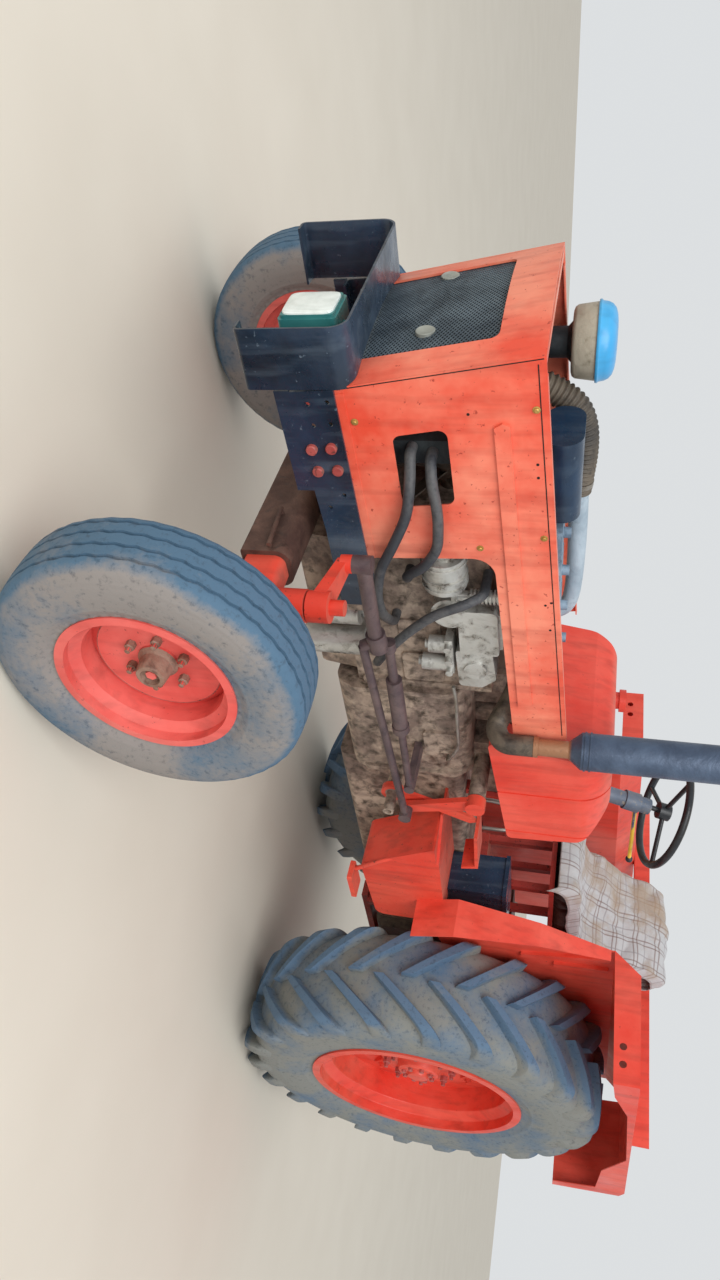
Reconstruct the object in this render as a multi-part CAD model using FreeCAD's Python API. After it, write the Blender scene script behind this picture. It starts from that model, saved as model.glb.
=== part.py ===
import FreeCAD, Part
import Mesh
import math
import os

# Farm tractor with an open bonnet, angular fenders and a three-point hitch.
# Millimetres. X points forward, Y to the driver's left and Z up from the ground.
# Drawn about the rear axle, then moved along X so that the origin is under the middle of its box.

V = FreeCAD.Vector

# Wheels and where they stand
WHEELBASE = 2657.0
REAR_TRACK = 1280.0
FRONT_TRACK = 1560.0
REAR_TYRE_R = 785.0
REAR_TYRE_WIDTH = 425.0
REAR_FLANGE_R = 457.0
REAR_BEAD_R = 432.0
REAR_RIM_WIDTH = 378.0
FRONT_TYRE_R = 379.0
FRONT_TYRE_WIDTH = 200.0
FRONT_FLANGE_R = 221.0
FRONT_BEAD_R = 204.0
FRONT_RIM_WIDTH = 161.0
REAR_RIM_WALL = 8.0
FRONT_RIM_WALL = 5.0
AXLE_SHAFT_R = 45.0
SPINDLE_R = 24.0

# Tread
LUGS_A_SIDE = 22
LUG_FLARE = 1.4
LUG_END_R = 648.0
FRONT_FACETS = 36
# distance from the middle plane, groove radius, bar radius, degrees ahead, width of the bar's top
LUG_STATIONS = ((9.0, 748.0, REAR_TYRE_R, 9.0, 46.0),
                (95.0, 744.0, REAR_TYRE_R - 2, 1.0, 50.0),
                (184.0, 722.0, REAR_TYRE_R - 14, -7.0, 60.0),
                (206.0, 690.0, 728.0, -9.0, 62.0))

# Injection pump's unions
PUMP_UNION_X = (2230.0, 2262.0, 2294.0, 2326.0)
PUMP_UNION_TOP = 1148.0

# Running gaps
FIT = 0.3
CLEAR = 5.0

# Front axle and steering
BEAM_HALF = FRONT_TRACK / 2 - 350.0
BEAM_BOTTOM = 484.0
BEAM_TOP = 615.0
BEAM_DEPTH = 118.0
ARM_WALL = 14.0
KINGPIN_Y = FRONT_TRACK / 2 - 220.0
KINGPIN_R = 25.0
KING_BOSS_R = 42.0
STEER_ARM_X = 29.0
STEER_ARM_REACH = 130.0
STEER_ARM_TOP = 780.0
DRAG_Z = 806.0
DRAG_REAR = (1464.0, 360.0, 789.0)
DRAG_R = 20.0
BALL_R = 24.0
DROP_PIVOT = (1530.0, 1035.0)
DROP_PLATE_Y = (315.0, 335.0)
DROP_SHAFT_R = 18.0
DROP_FOOT_R = 20.0
PEDAL_SHAFT = (1509.0, 736.0)
PEDAL_SHAFT_R = 26.0
PEDAL_RING_Y = 308.0
RAM_Y = 368.0
RAM_Z = 822.0
RAM_R = 24.0
RAM_ROD_R = 12.0
RAM_BARREL_X = (1968.0, 2190.0)
CLAMP_X = 2365.0
THIN_LINK_Z = 752.0

# Front frame, bonnet and nose
RAIL_Y = (250.0, 300.0)
RAIL_WEB = 8.0
RAIL_REAR_X = 2420.0
RAIL_BOLTS = ((2940.0, 731.0), (2877.0, 738.0), (2936.0, 681.0), (2873.0, 687.0))
RAIL_HOLES = ((3063.0, 738.0), (3058.0, 690.0), (3005.0, 738.0), (3001.0, 695.0), (2800.0, 742.0),
              (2760.0, 700.0))
BONNET_HALF = 291.0
SHEET = 4.0
RIB_PROUD = 8.0
NOSE_TOP = (3171.0, 1234.0)
NOSE_BOTTOM = (3095.0, 757.0)
NOSE_BOW = 34.0
BONNET_STEP = (2606.0, 1113.0)
PANEL_REAR_BOTTOM = (2589.0, 778.0)
BONNET_END_BOTTOM = (1861.0, 1162.0)
BONNET_END_TOP = (1885.0, 1323.0)
RADIATOR_X = (2842.0, 2923.0)
RADIATOR_HALF = 225.0
GRILLE_HALF = 204.0
GRILLE_TOP = 1125.0
GRILLE_PITCH = 34.0
GRILLE_BAR = 5.0
GUARD_FRONT_X = 3245.0
GUARD_BOTTOM = 545.0
GUARD_TOP = 808.0
GUARD_WALL = 6.0

# Engine, gearbox and axle housing
BLOCK_X = (1950.0, 2560.0)
BLOCK_HALF = 165.0
TIMING_DEPTH = 70.0
BLOCK_Z = (640.0, 1080.0)
HEAD_TOP = 1205.0
BELL_X = 1500.0
BELL_HALF = 195.0
BELL_TOP = 1005.0
GEARBOX_HALF = 150.0
GEARBOX_TOP = 960.0
CENTRE_HALF = 200.0
CENTRE_BOTTOM = 500.0
CENTRE_TOP = 1000.0
CENTRE_X = (-230.0, 240.0)
TRUMPET_R = 92.0

# Tank and steering column
TANK_HALF = 300.0
TANK_TOP = 1478.0
TANK_FLOOR = 1190.0
COLUMN_FOOT = (1352.0, 1100.0)
COLUMN_TOP = (1142.0, 1673.0)
COLUMN_R = 30.0
SHAFT_R = 10.0
STEERING_BOX_TOP = 1120.0
WHEEL_RING_R = 220.0
WHEEL_RING_TUBE = 14.0

# Exhaust
LOG_Z = 1165.0
LOG_R = 28.0
STACK_X = 1880.0
STACK_Y = 325.0
STACK_TOP = 2150.0
MUFFLER_R = 58.0
PIPE_R = 27.0

# Fenders and the board across them
FENDER_INNER = REAR_TRACK / 2 - 225.0
FENDER_OUTER = REAR_TRACK / 2 + 259.0
FENDER_FRONT = (780.0, 1651.0)
FENDER_REAR = (-568.0, 1708.0)
FENDER_DROP = (-600.0, 1393.0)
FENDER_LIP = 90.0
FENDER_CHAMFER = 95.0
FENDER_RIDGE = 84.0
FENDER_EDGE = [(960.0, 800.0), (1009.0, 966.0), (915.0, 1275.0)]

# Seat
PLATFORM_Y = (225.0, FENDER_INNER)
SEAT_HALF = 225.0
SEAT_FRONT_X = 800.0
SEAT_TOP = 1420.0
SEAT_DECK_TOP = 1310.0
BACK_TOP = (70.0, 1765.0)

# Hitch
LINK_PIVOT = (-20.0, 410.0)
LINK_Y = (230.0, 405.0)
LINK_LENGTH = 850.0
LINK_SLOPE = 2.0
LIFT_SHAFT = (-100.0, 1060.0)
LIFT_ATTACH = 400.0
LIFT_ROD_Y = 305.0
LIFT_SHAFT_R = 32.0
LINK_EYE_R = 14.25
LINK_PIN_R = 14.0
LINK_EAR_GAP = 27.0
PTO_R = 17.45
PTO_Z = 640.0
DRAWBAR_Z = 395.0
DRAWBAR_HOLE_R = 16.5
DRAWBAR_REACH = -640.0

FRONT_AXLE_Z = FRONT_TYRE_R
REAR_AXLE_Z = REAR_TYRE_R


# Drawing helpers

def outline(corners, place):
    """Closed wire through corners (a, b, radius); a radius becomes a tangent arc."""
    points = [V(a, b, 0) for a, b, _ in corners]
    edges = []
    first = None
    last = None
    for index, (_, _, radius) in enumerate(corners):
        here = points[index]
        back = (points[index - 1] - here).normalize()
        ahead = (points[(index + 1) % len(points)] - here).normalize()
        if radius:
            half = back.getAngle(ahead) / 2
            middle = (back + ahead).normalize()
            reach = radius / math.tan(half)
            top = here + middle * (radius / math.sin(half) - radius)
            start = here + back * reach
            end = here + ahead * reach
        else:
            start = here
            end = here
        if last is not None and (start - last).Length > 1e-6:
            edges.append(Part.LineSegment(place(last), place(start)).toShape())
        if radius:
            edges.append(Part.Arc(place(start), place(top), place(end)).toShape())
        if first is None:
            first = start
        last = end
    if (first - last).Length > 1e-6:
        edges.append(Part.LineSegment(place(last), place(first)).toShape())
    return Part.Wire(edges)


def sharp(points):
    """Corners with no radius."""
    return [(a, b, 0) for a, b in points]


def side_plate(corners, y0, y1):
    """Outline in X and Z, as thick as y0 to y1."""
    face = Part.Face(outline(corners, lambda p: V(p.x, y0, p.y)))
    return face.extrude(V(0, y1 - y0, 0))


def flat_plate(corners, z0, z1):
    """Outline in X and Y, as thick as z0 to z1."""
    face = Part.Face(outline(corners, lambda p: V(p.x, p.y, z0)))
    return face.extrude(V(0, 0, z1 - z0))


def cross_plate(corners, x0, x1):
    """Outline in Y and Z, as thick as x0 to x1."""
    face = Part.Face(outline(corners, lambda p: V(x0, p.x, p.y)))
    return face.extrude(V(x1 - x0, 0, 0))


def wheel_turned(corners, x, y, z):
    """Profile of (offset along Y, radius) turned about the line through x and z."""
    face = Part.Face(outline(corners, lambda p: V(x, y + p.x, z + p.y)))
    return face.revolve(V(x, y, z), V(0, 1, 0), 360)


def hexagon(x, y0, z, radius, length):
    """Nut or bolt head whose axis runs along Y, grown from y0."""
    corners = [(x + radius * math.cos(math.radians(60 * n)), z + radius * math.sin(math.radians(60 * n)))
               for n in range(6)]
    return side_plate(sharp(corners), y0, y0 + length)


def stud(x, y, z, reach, radius):
    """Stud along Y with a nut on it."""
    return joined(bar((x, y, z), (x, y + reach, z), radius * 0.55),
                  hexagon(x, y, z, radius, reach * 0.6))


def on_circle(x, z, radius, count, start=0.0):
    """Centres of what stands in a circle about an axle."""
    return [(x + radius * math.cos(math.radians(start + 360 * n / count)),
             z + radius * math.sin(math.radians(start + 360 * n / count))) for n in range(count)]


def block(x0, x1, y0, y1, z0, z1):
    return Part.makeBox(x1 - x0, y1 - y0, z1 - z0, V(x0, y0, z0))


def bar(start, end, radius):
    """Round bar between two points."""
    a = V(*start)
    b = V(*end)
    return Part.makeCylinder(radius, (b - a).Length, a, b - a)


def joined(*pieces):
    shape = pieces[0].fuse(list(pieces[1:])) if len(pieces) > 1 else pieces[0]
    return shape.removeSplitter()


def beside(*pieces):
    """Pieces that share a node and don't touch."""
    return Part.makeCompound(list(pieces))


def mirrored(shape):
    return shape.mirror(V(0, 0, 0), V(0, 1, 0))


def both_sides(shape):
    return beside(shape, mirrored(shape))


def bent_tube(points, radius, share=0.42):
    """Tube along straight runs joined by arcs, each as large as its two runs allow."""
    route = [V(*p) for p in points]
    edges = []
    last = route[0]
    for index in range(1, len(route) - 1):
        here = route[index]
        back = (route[index - 1] - here)
        ahead = (route[index + 1] - here)
        reach = share * min(back.Length, ahead.Length)
        back.normalize()
        ahead.normalize()
        half = back.getAngle(ahead) / 2
        middle = (back + ahead).normalize()
        arc = reach * math.tan(half)
        start = here + back * reach
        end = here + ahead * reach
        top = here + middle * (arc / math.sin(half) - arc)
        edges.append(Part.LineSegment(last, start).toShape())
        edges.append(Part.Arc(start, top, end).toShape())
        last = end
    edges.append(Part.LineSegment(last, route[-1]).toShape())
    path = Part.Wire(edges)
    ring = Part.Wire(Part.makeCircle(radius, route[0], route[1] - route[0]))
    return path.makePipeShell([ring], True, True)


def on_line(start, end, share):
    """Point at a share of the way between two (x, z) points."""
    return tuple(a + (b - a) * share for a, b in zip(start, end))


# Wheels

def facet_point(y, radius, degrees, centre):
    """Point of a tyre at a distance from its middle plane, a radius and an angle ahead of its top."""
    turn = math.radians(degrees)
    return (round(centre.x + radius * math.sin(turn), 6), round(centre.y + y, 6),
            round(centre.z + radius * math.cos(turn), 6))


def facet_solid(quads):
    """Solid bounded by flat facets; a quad whose corners aren't in one plane is two triangles."""
    triangles = []
    for a, b, c, d in quads:
        triangles.append((a, b, c))
        if d is not None:
            triangles.append((a, c, d))
    mesh = Mesh.Mesh([corner for triangle in triangles for corner in triangle])
    shape = Part.Shape()
    shape.makeShapeFromMesh(mesh.Topology, 0.001)
    solid = Part.makeSolid(shape)
    if solid.Volume < 0:
        solid.reverse()
    return solid


def tread_half(side, centre):
    """Quads of one half of the rear tyre: bars with slanted flanks, sidewall and bead; `side` is 1 or -1."""
    pitch = 360 / LUGS_A_SIDE
    quarter = pitch / 4
    start = 180 - LUG_STATIONS[0][3] + (0 if side > 0 else pitch / 2)
    bead = REAR_RIM_WIDTH / 2 - REAR_RIM_WALL - FIT
    half = REAR_TYRE_WIDTH / 2
    flat = math.cos(math.radians(quarter))
    tail = LUG_STATIONS[-1][3]
    # distance from the middle plane, radius
    walls = ((half, 560), (bead, REAR_FLANGE_R + 14), (bead, (REAR_BEAD_R + FIT) / flat))
    quads = []

    def at(y, radius, degrees, number):
        return facet_point(side * y, radius, start + degrees + number * pitch, centre)

    def even(y, radius, degrees, number, way):
        return at(y, radius, degrees + way * quarter, number)

    def foot(station, number, way):
        y, groove, _, ahead, width = station
        return at(y, groove, ahead + way * math.degrees(width * LUG_FLARE / 2 / groove), number)

    def top(station, number, way):
        y, _, crown, ahead, width = station
        spread = width / 2 / crown
        return at(y, crown / math.cos(spread), ahead + way * math.degrees(spread), number)

    first = LUG_STATIONS[0]
    last = LUG_STATIONS[-1]
    edge = (half, LUG_END_R, LUG_END_R, tail, last[4])
    for k in range(LUGS_A_SIDE):
        before = even(0, first[1], first[3], k, -1)
        behind = even(0, first[1], first[3], k, 1)
        following = even(0, first[1], first[3], k + 1, -1)
        quads.append((before, behind, foot(first, k, 1), foot(first, k, -1)))
        quads.append((behind, following, foot(first, k + 1, -1), foot(first, k, 1)))
        quads.append((foot(first, k, -1), foot(first, k, 1), top(first, k, 1), top(first, k, -1)))
        for near, far in zip(LUG_STATIONS, LUG_STATIONS[1:]):
            quads.append((foot(near, k, -1), top(near, k, -1), top(far, k, -1), foot(far, k, -1)))
            quads.append((top(near, k, -1), top(near, k, 1), top(far, k, 1), top(far, k, -1)))
            quads.append((top(near, k, 1), foot(near, k, 1), foot(far, k, 1), top(far, k, 1)))
            quads.append((foot(near, k, 1), foot(near, k + 1, -1), foot(far, k + 1, -1),
                          foot(far, k, 1)))
        quads.append((top(last, k, -1), top(last, k, 1), foot(edge, k, 1), foot(edge, k, -1)))
        quads.append((foot(last, k, -1), top(last, k, -1), foot(edge, k, -1), None))
        quads.append((top(last, k, 1), foot(last, k, 1), foot(edge, k, 1), None))
        quads.append((foot(last, k, 1), foot(last, k + 1, -1), foot(edge, k + 1, -1), foot(edge, k, 1)))
        y, radius = walls[0]
        quads.append((foot(edge, k, -1), foot(edge, k, 1),
                      even(y, radius, tail, k, 1), even(y, radius, tail, k, -1)))
        quads.append((foot(edge, k, 1), foot(edge, k + 1, -1),
                      even(y, radius, tail, k + 1, -1), even(y, radius, tail, k, 1)))
        for (y0, r0), (y1, r1) in zip(walls, walls[1:]):
            quads.append((even(y0, r0, tail, k, -1), even(y0, r0, tail, k, 1),
                          even(y1, r1, tail, k, 1), even(y1, r1, tail, k, -1)))
            quads.append((even(y0, r0, tail, k, 1), even(y0, r0, tail, k + 1, -1),
                          even(y1, r1, tail, k + 1, -1), even(y1, r1, tail, k, 1)))
        if side > 0:
            y, radius = walls[-1]
            for a, b in (((k, -1), (k, 1)), ((k, 1), (k + 1, -1))):
                quads.append((even(y, radius, tail, *a), even(y, radius, tail, *b),
                              even(-y, radius, tail, *b), even(-y, radius, tail, *a)))
    if side < 0:
        quads = [(c, b, a, None) if d is None else (d, c, b, a) for a, b, c, d in quads]
    return quads


def rear_tyre():
    """Carcass and staggered bars as one shell of flat facets, standing on the flat of a bar."""
    centre = V(0, REAR_TRACK / 2, REAR_AXLE_Z)
    return facet_solid(tread_half(1, centre) + tread_half(-1, centre))


def rear_rim():
    y = REAR_TRACK / 2
    half = REAR_RIM_WIDTH / 2
    wall = REAR_RIM_WALL
    inner = half - wall
    well = REAR_BEAD_R - 37
    outer_side = [(half, REAR_FLANGE_R, 0), (inner, REAR_FLANGE_R, 0), (inner, REAR_BEAD_R, 0),
                  (inner - 30, REAR_BEAD_R, 6), (inner - 60, well, 6)]
    under = [(-(inner - 62), well - wall, 6), (-(inner - 32), REAR_BEAD_R - wall, 6),
             (-half, REAR_BEAD_R - wall, 0), (-half, REAR_FLANGE_R, 0), (-inner, REAR_FLANGE_R, 0),
             (-inner, REAR_BEAD_R, 0), (-(inner - 30), REAR_BEAD_R, 6), (-(inner - 60), well, 6)]
    back = [(inner - 62, well - wall, 6), (inner - 32, REAR_BEAD_R - wall, 6),
            (half, REAR_BEAD_R - wall, 0)]
    ring = wheel_turned(outer_side + list(reversed(under[4:])) + list(reversed(under[:4])) + back,
                        0, y, REAR_AXLE_Z)
    disc_y = -45.0
    disc = wheel_turned(sharp([(disc_y, 60), (disc_y, 205), (5, 330), (5, well - wall + 1),
                               (15, well - wall + 1), (15, 324), (disc_y + 10, 198), (disc_y + 10, 60)]),
                               0, y, REAR_AXLE_Z)
    hub = wheel_turned(sharp([(disc_y - 95, 0), (disc_y - 95, AXLE_SHAFT_R), (disc_y - 25, AXLE_SHAFT_R),
                              (disc_y - 25, 150), (disc_y, 150), (disc_y, 70), (30, 62), (30, 0)]),
                       0, y, REAR_AXLE_Z)
    face = y + disc_y + 10
    pieces = [stud(sx, face - 1, sz, 46, 17) for sx, sz in on_circle(0, REAR_AXLE_Z, 125, 8)]
    pieces += [stud(sx, y + 29, sz, 22, 11) for sx, sz in on_circle(0, REAR_AXLE_Z, 42, 6, 30)]
    for sx, sz in on_circle(0, REAR_AXLE_Z, 285, 4, 45):
        clamp = joined(block(sx - 26, sx + 26, y - 10, y + 22, sz - 26, sz + 26),
                       stud(sx, y + 21, sz, 20, 15))
        clamp.rotate(V(sx, y, sz), V(0, 1, 0), math.degrees(math.atan2(sx, sz - REAR_AXLE_Z)))
        pieces.append(clamp)
    return joined(ring, disc, hub, *pieces)


def front_tyre():
    """Tyre as flat facets round its axle, standing on one of them."""
    centre = V(WHEELBASE, FRONT_TRACK / 2, FRONT_AXLE_Z)
    half = FRONT_TYRE_WIDTH / 2
    bead = FRONT_RIM_WIDTH / 2 - FRONT_RIM_WALL - FIT
    grow = 1 / math.cos(math.pi / FRONT_FACETS)
    right = [(bead, FRONT_BEAD_R + FIT), (bead, FRONT_FLANGE_R + 9), (half, 272), (half, 322),
             (half - 24, FRONT_TYRE_R)]
    profile = [(y, radius * grow) for y, radius in right]
    profile += [(-y, radius) for y, radius in reversed(profile)]
    step = 360 / FRONT_FACETS
    quads = []
    for number in range(FRONT_FACETS):
        low, high = 180 + (number - 0.5) * step, 180 + (number + 0.5) * step
        for (y0, r0), (y1, r1) in zip(profile, profile[1:] + profile[:1]):
            quads.append((facet_point(y0, r0, low, centre), facet_point(y0, r0, high, centre),
                          facet_point(y1, r1, high, centre), facet_point(y1, r1, low, centre)))
    return facet_solid(quads)


def front_rim():
    y = FRONT_TRACK / 2
    half = FRONT_RIM_WIDTH / 2
    wall = FRONT_RIM_WALL
    inner = half - wall
    well = FRONT_BEAD_R - 24
    over = [(half, FRONT_FLANGE_R), (inner, FRONT_FLANGE_R), (inner, FRONT_BEAD_R),
            (inner - 18, FRONT_BEAD_R), (inner - 36, well), (-(inner - 36), well),
            (-(inner - 18), FRONT_BEAD_R), (-inner, FRONT_BEAD_R), (-inner, FRONT_FLANGE_R),
            (-half, FRONT_FLANGE_R)]
    under = [(-half, FRONT_BEAD_R - wall), (-(inner - 20), FRONT_BEAD_R - wall),
             (-(inner - 38), well - wall), (inner - 38, well - wall), (inner - 20, FRONT_BEAD_R - wall),
             (half, FRONT_BEAD_R - wall)]
    ring = wheel_turned(sharp(over + under), WHEELBASE, y, FRONT_AXLE_Z)
    disc = wheel_turned(sharp([(-12, 50), (-12, 150), (-30, well - wall + 1), (-24, well - wall + 1),
                               (-5, 154), (-5, 50)]), WHEELBASE, y, FRONT_AXLE_Z)
    return joined(ring, disc, front_hub())


def front_hub():
    """Drum with a blind bore for the spindle, flange behind the disc, open cap outside and six studs."""
    y = FRONT_TRACK / 2
    bore = SPINDLE_R + FIT
    drum = wheel_turned(sharp([(-95, bore), (-95, 62), (-60, 58), (-27, 58), (-27, 96), (-12, 96),
                               (-12, 49.7), (0, 49), (12, 40), (48, 36), (52, 33), (52, 25), (38, 24),
                               (38, 0), (0, 0), (0, bore)]), WHEELBASE, y, FRONT_AXLE_Z)
    nut = hexagon(WHEELBASE, y + 37, FRONT_AXLE_Z, 14, 9)
    studs = [stud(sx, y - 6, sz, 30, 12) for sx, sz in on_circle(WHEELBASE, FRONT_AXLE_Z, 75, 6, 15)]
    return joined(drum, nut, *studs)


# Front axle and steering

def axle_beam():
    half = BEAM_DEPTH / 2
    x0 = WHEELBASE - half
    x1 = WHEELBASE + half
    profile = [(x0, BEAM_BOTTOM, 6), (x1, BEAM_BOTTOM, 6), (x1, BEAM_TOP, 40), (x0, BEAM_TOP, 40)]
    tube = side_plate(profile, -BEAM_HALF, BEAM_HALF)
    bore = [(x0 + ARM_WALL, BEAM_BOTTOM + ARM_WALL, 4), (x1 - ARM_WALL, BEAM_BOTTOM + ARM_WALL, 4),
            (x1 - ARM_WALL, BEAM_TOP - ARM_WALL, 28), (x0 + ARM_WALL, BEAM_TOP - ARM_WALL, 28)]
    hollow = BEAM_HALF - 230
    tube = tube.cut(side_plate(bore, hollow, BEAM_HALF)).cut(side_plate(bore, -BEAM_HALF, -hollow))
    lug = block(WHEELBASE - 45, WHEELBASE + 45, -70, 70, BEAM_TOP - 20, BEAM_TOP + 12)
    rod_x = x1 + 12
    pins = [bar((rod_x, 420, 561), (rod_x, 267, 551), 6)]
    pins += [bar((x1 - 2, y, 552 + (y - 275) / 17), (rod_x, y, 552 + (y - 275) / 17), 6) for y in (275,
                                                                                                   411)]
    pin = joined(*pins)
    return joined(tube, lug, pin, mirrored(pin))


def axle_arm():
    """Inner beam that slides in the axle tube and carries the kingpin boss."""
    inset = ARM_WALL + FIT
    x0 = WHEELBASE - BEAM_DEPTH / 2 + inset
    x1 = WHEELBASE + BEAM_DEPTH / 2 - inset
    z0 = BEAM_BOTTOM + inset
    z1 = BEAM_TOP - inset
    profile = [(x0, z0, 4), (x1, z0, 4), (x1, z1, 28), (x0, z1, 28)]
    beam = side_plate(profile, BEAM_HALF - 225, KINGPIN_Y)
    boss = bar((WHEELBASE, KINGPIN_Y, 462), (WHEELBASE, KINGPIN_Y, 690), KING_BOSS_R)
    hole = bar((WHEELBASE, KINGPIN_Y, 400), (WHEELBASE, KINGPIN_Y, 800), KINGPIN_R + FIT)
    return joined(beam, boss).cut(hole)


def knuckle():
    """Kingpin with the spindle below and the steering arm above, which points inwards."""
    x = WHEELBASE
    y = KINGPIN_Y
    z = FRONT_AXLE_Z
    pin = bar((x, y, z), (x, y, 745), KINGPIN_R)
    foot = bar((x, y, z - 48), (x, y, 462 - CLEAR), 46)
    spindle = bar((x, y, z), (x, FRONT_TRACK / 2 - 12, z), SPINDLE_R)
    root = bar((x, y, z), (x, y + 58, z), 40)
    hub = bar((x, y, 690 + CLEAR), (x, y, 750), 40)
    nut = bar((x, y, 750), (x, y, 786), 20)
    ball = bar((x + STEER_ARM_X, y - STEER_ARM_REACH, STEER_ARM_TOP - 30),
               (x + STEER_ARM_X, y - STEER_ARM_REACH, STEER_ARM_TOP), BALL_R)
    web = flat_plate(sharp([(x - 34, y - 12), (x + 36, y - 8),
                            (x + STEER_ARM_X + 20, y - STEER_ARM_REACH),
                            (x + STEER_ARM_X - 20, y - STEER_ARM_REACH)]), 700, STEER_ARM_TOP - 4)
    slope = side_view_wedge(x, y)
    return joined(pin, foot, spindle, root, hub, nut, ball, web.common(slope))


def side_view_wedge(x, y):
    """Slab that rises from the hub to the ball and trims the steering arm."""
    reach = y - STEER_ARM_REACH
    low = STEER_ARM_TOP - 30
    return cross_plate(sharp([(y + 10, 700), (y + 10, 735), (reach - 20, low + 26), (reach - 20, low)]),
                       x - 80, x + 80)


def drag_link(with_ram):
    """Rod from the drop arm to the steering arm, with the steering ram's barrel clamped to it on one side."""
    front = (WHEELBASE + STEER_ARM_X, KINGPIN_Y - STEER_ARM_REACH, DRAG_Z)
    fx, fy, fz = front
    rx, ry, rz = DRAG_REAR
    clamp = (CLAMP_X, RAM_Y + 16, 792.0)
    elbow = (CLAMP_X - 20, RAM_Y + 20, THIN_LINK_Z)
    ball = bar((fx, fy, STEER_ARM_TOP + FIT), (fx, fy, DRAG_Z + BALL_R), BALL_R)
    thick = bar(front, clamp, DRAG_R)
    thin = bar(elbow, (rx, ry, rz), DRAG_R - 7)
    rear_ball = bar((rx, DROP_PLATE_Y[1] + FIT, rz), (rx, ry + 20, rz), BALL_R - 2)
    drop = bar(clamp, elbow, DRAG_R - 2)
    pieces = [ball, thick, thin, rear_ball, drop]
    if with_ram:
        x0, x1 = RAM_BARREL_X
        pieces.append(bar((CLAMP_X - 32, RAM_Y + 14, 798), (CLAMP_X + 30, RAM_Y + 17, 793), DRAG_R + 8))
        pieces.append(bar((CLAMP_X - 50, RAM_Y, RAM_Z), (CLAMP_X - 18, RAM_Y, RAM_Z), 20))
        pieces.append(bar((x1, RAM_Y, RAM_Z), (CLAMP_X - 50, RAM_Y, RAM_Z), RAM_ROD_R + 2))
        barrel = bar((x0, RAM_Y, RAM_Z), (x1, RAM_Y, RAM_Z), RAM_R)
        gland = bar((x0 - 15, RAM_Y, RAM_Z), (x0 + 12, RAM_Y, RAM_Z), RAM_R + 3)
        bore = bar((x0 - 30, RAM_Y, RAM_Z), (x1 - 12, RAM_Y, RAM_Z), RAM_ROD_R + FIT)
        pieces.append(joined(barrel, gland).cut(bore))
    return joined(*pieces)


def ram_rod():
    """Piston rod that stays with the chassis, from inside the barrel to its bracket on the gearbox."""
    rod = bar((1650, RAM_Y, RAM_Z), (2085, RAM_Y, RAM_Z), RAM_ROD_R)
    eye = bar((1650, RAM_Y - 18, RAM_Z), (1650, RAM_Y + 16, RAM_Z), 18)
    bracket = block(1625, 1675, BELL_HALF, RAM_Y - 18, RAM_Z - 10, RAM_Z + 14)
    return joined(rod, eye, bracket)


def drop_arm():
    px, pz = DROP_PIVOT
    rx, _, rz = DRAG_REAR
    y0, y1 = DROP_PLATE_Y
    boss = bar((px, y0 - 5, pz), (px, y1 + 18, pz), 34)
    foot = bar((rx, y0, rz), (rx, y1, rz), DROP_FOOT_R)
    lean = V(rx - px, 0, rz - pz).normalize()
    across = V(-lean.z, 0, lean.x)
    top = V(px, 0, pz)
    low = V(rx, 0, rz)
    corners = [top + across * 28, top - across * 28, low - across * DROP_FOOT_R,
               low + across * DROP_FOOT_R]
    arm = side_plate(sharp([(c.x, c.z) for c in corners]), y0, y1)
    bore = bar((px, y0 - 10, pz), (px, y1 + 10 + FIT, pz), DROP_SHAFT_R + FIT)
    return joined(boss, foot, arm).cut(bore)


def steering_box():
    """Housing on the clutch case with the cross shafts that carry the drop arms."""
    px, pz = DROP_PIVOT
    x0 = 1330
    x1 = 1620
    low = BELL_TOP - 2
    case = cross_plate([(-130, low, 0), (130, low, 0), (130, STEERING_BOX_TOP, 40),
                        (-130, STEERING_BOX_TOP, 40)], x0, x1)
    y0, y1 = DROP_PLATE_Y
    boss = bar((px, 120, pz), (px, y0 - 5 - CLEAR, pz), 30)
    shaft = bar((px, 120, pz), (px, y1 + 10, pz), DROP_SHAFT_R)
    return joined(case, boss, mirrored(boss), shaft, mirrored(shaft))


# Front frame, bonnet and nose

def side_rail():
    """Channel with its web outside; its top follows the bonnet's lower edge."""
    y0, y1 = RAIL_Y
    web = [NOSE_BOTTOM, PANEL_REAR_BOTTOM, (RAIL_REAR_X, 770), (RAIL_REAR_X, 690), (2683, 684),
           (2990, 660), (3090, 655)]
    wall = side_plate(sharp(web), y1 - RAIL_WEB, y1)
    top = [NOSE_BOTTOM, PANEL_REAR_BOTTOM, (RAIL_REAR_X, 770), (RAIL_REAR_X, 762), (2589, 770),
           (3095, 749)]
    low = [(3090, 655), (2990, 660), (2683, 684), (RAIL_REAR_X, 690), (RAIL_REAR_X, 682), (2683, 676),
           (2990, 652), (3090, 647)]
    lip = side_plate(sharp([(2812, 622), (3092, 612), (3092, 648), (2812, 668)]), y1 - 14, y1)
    rail = joined(wall, side_plate(sharp(top), y0, y1), side_plate(sharp(low), y0, y1), lip)
    holes = [bar((x, y1 - 20, z), (x, y1 + 5, z), 6) for x, z in RAIL_HOLES]
    heads = [hexagon(x, y1 - 1, z, 13, 10) for x, z in RAIL_BOLTS]
    return joined(rail.cut(Part.makeCompound(holes)), *heads)


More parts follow.
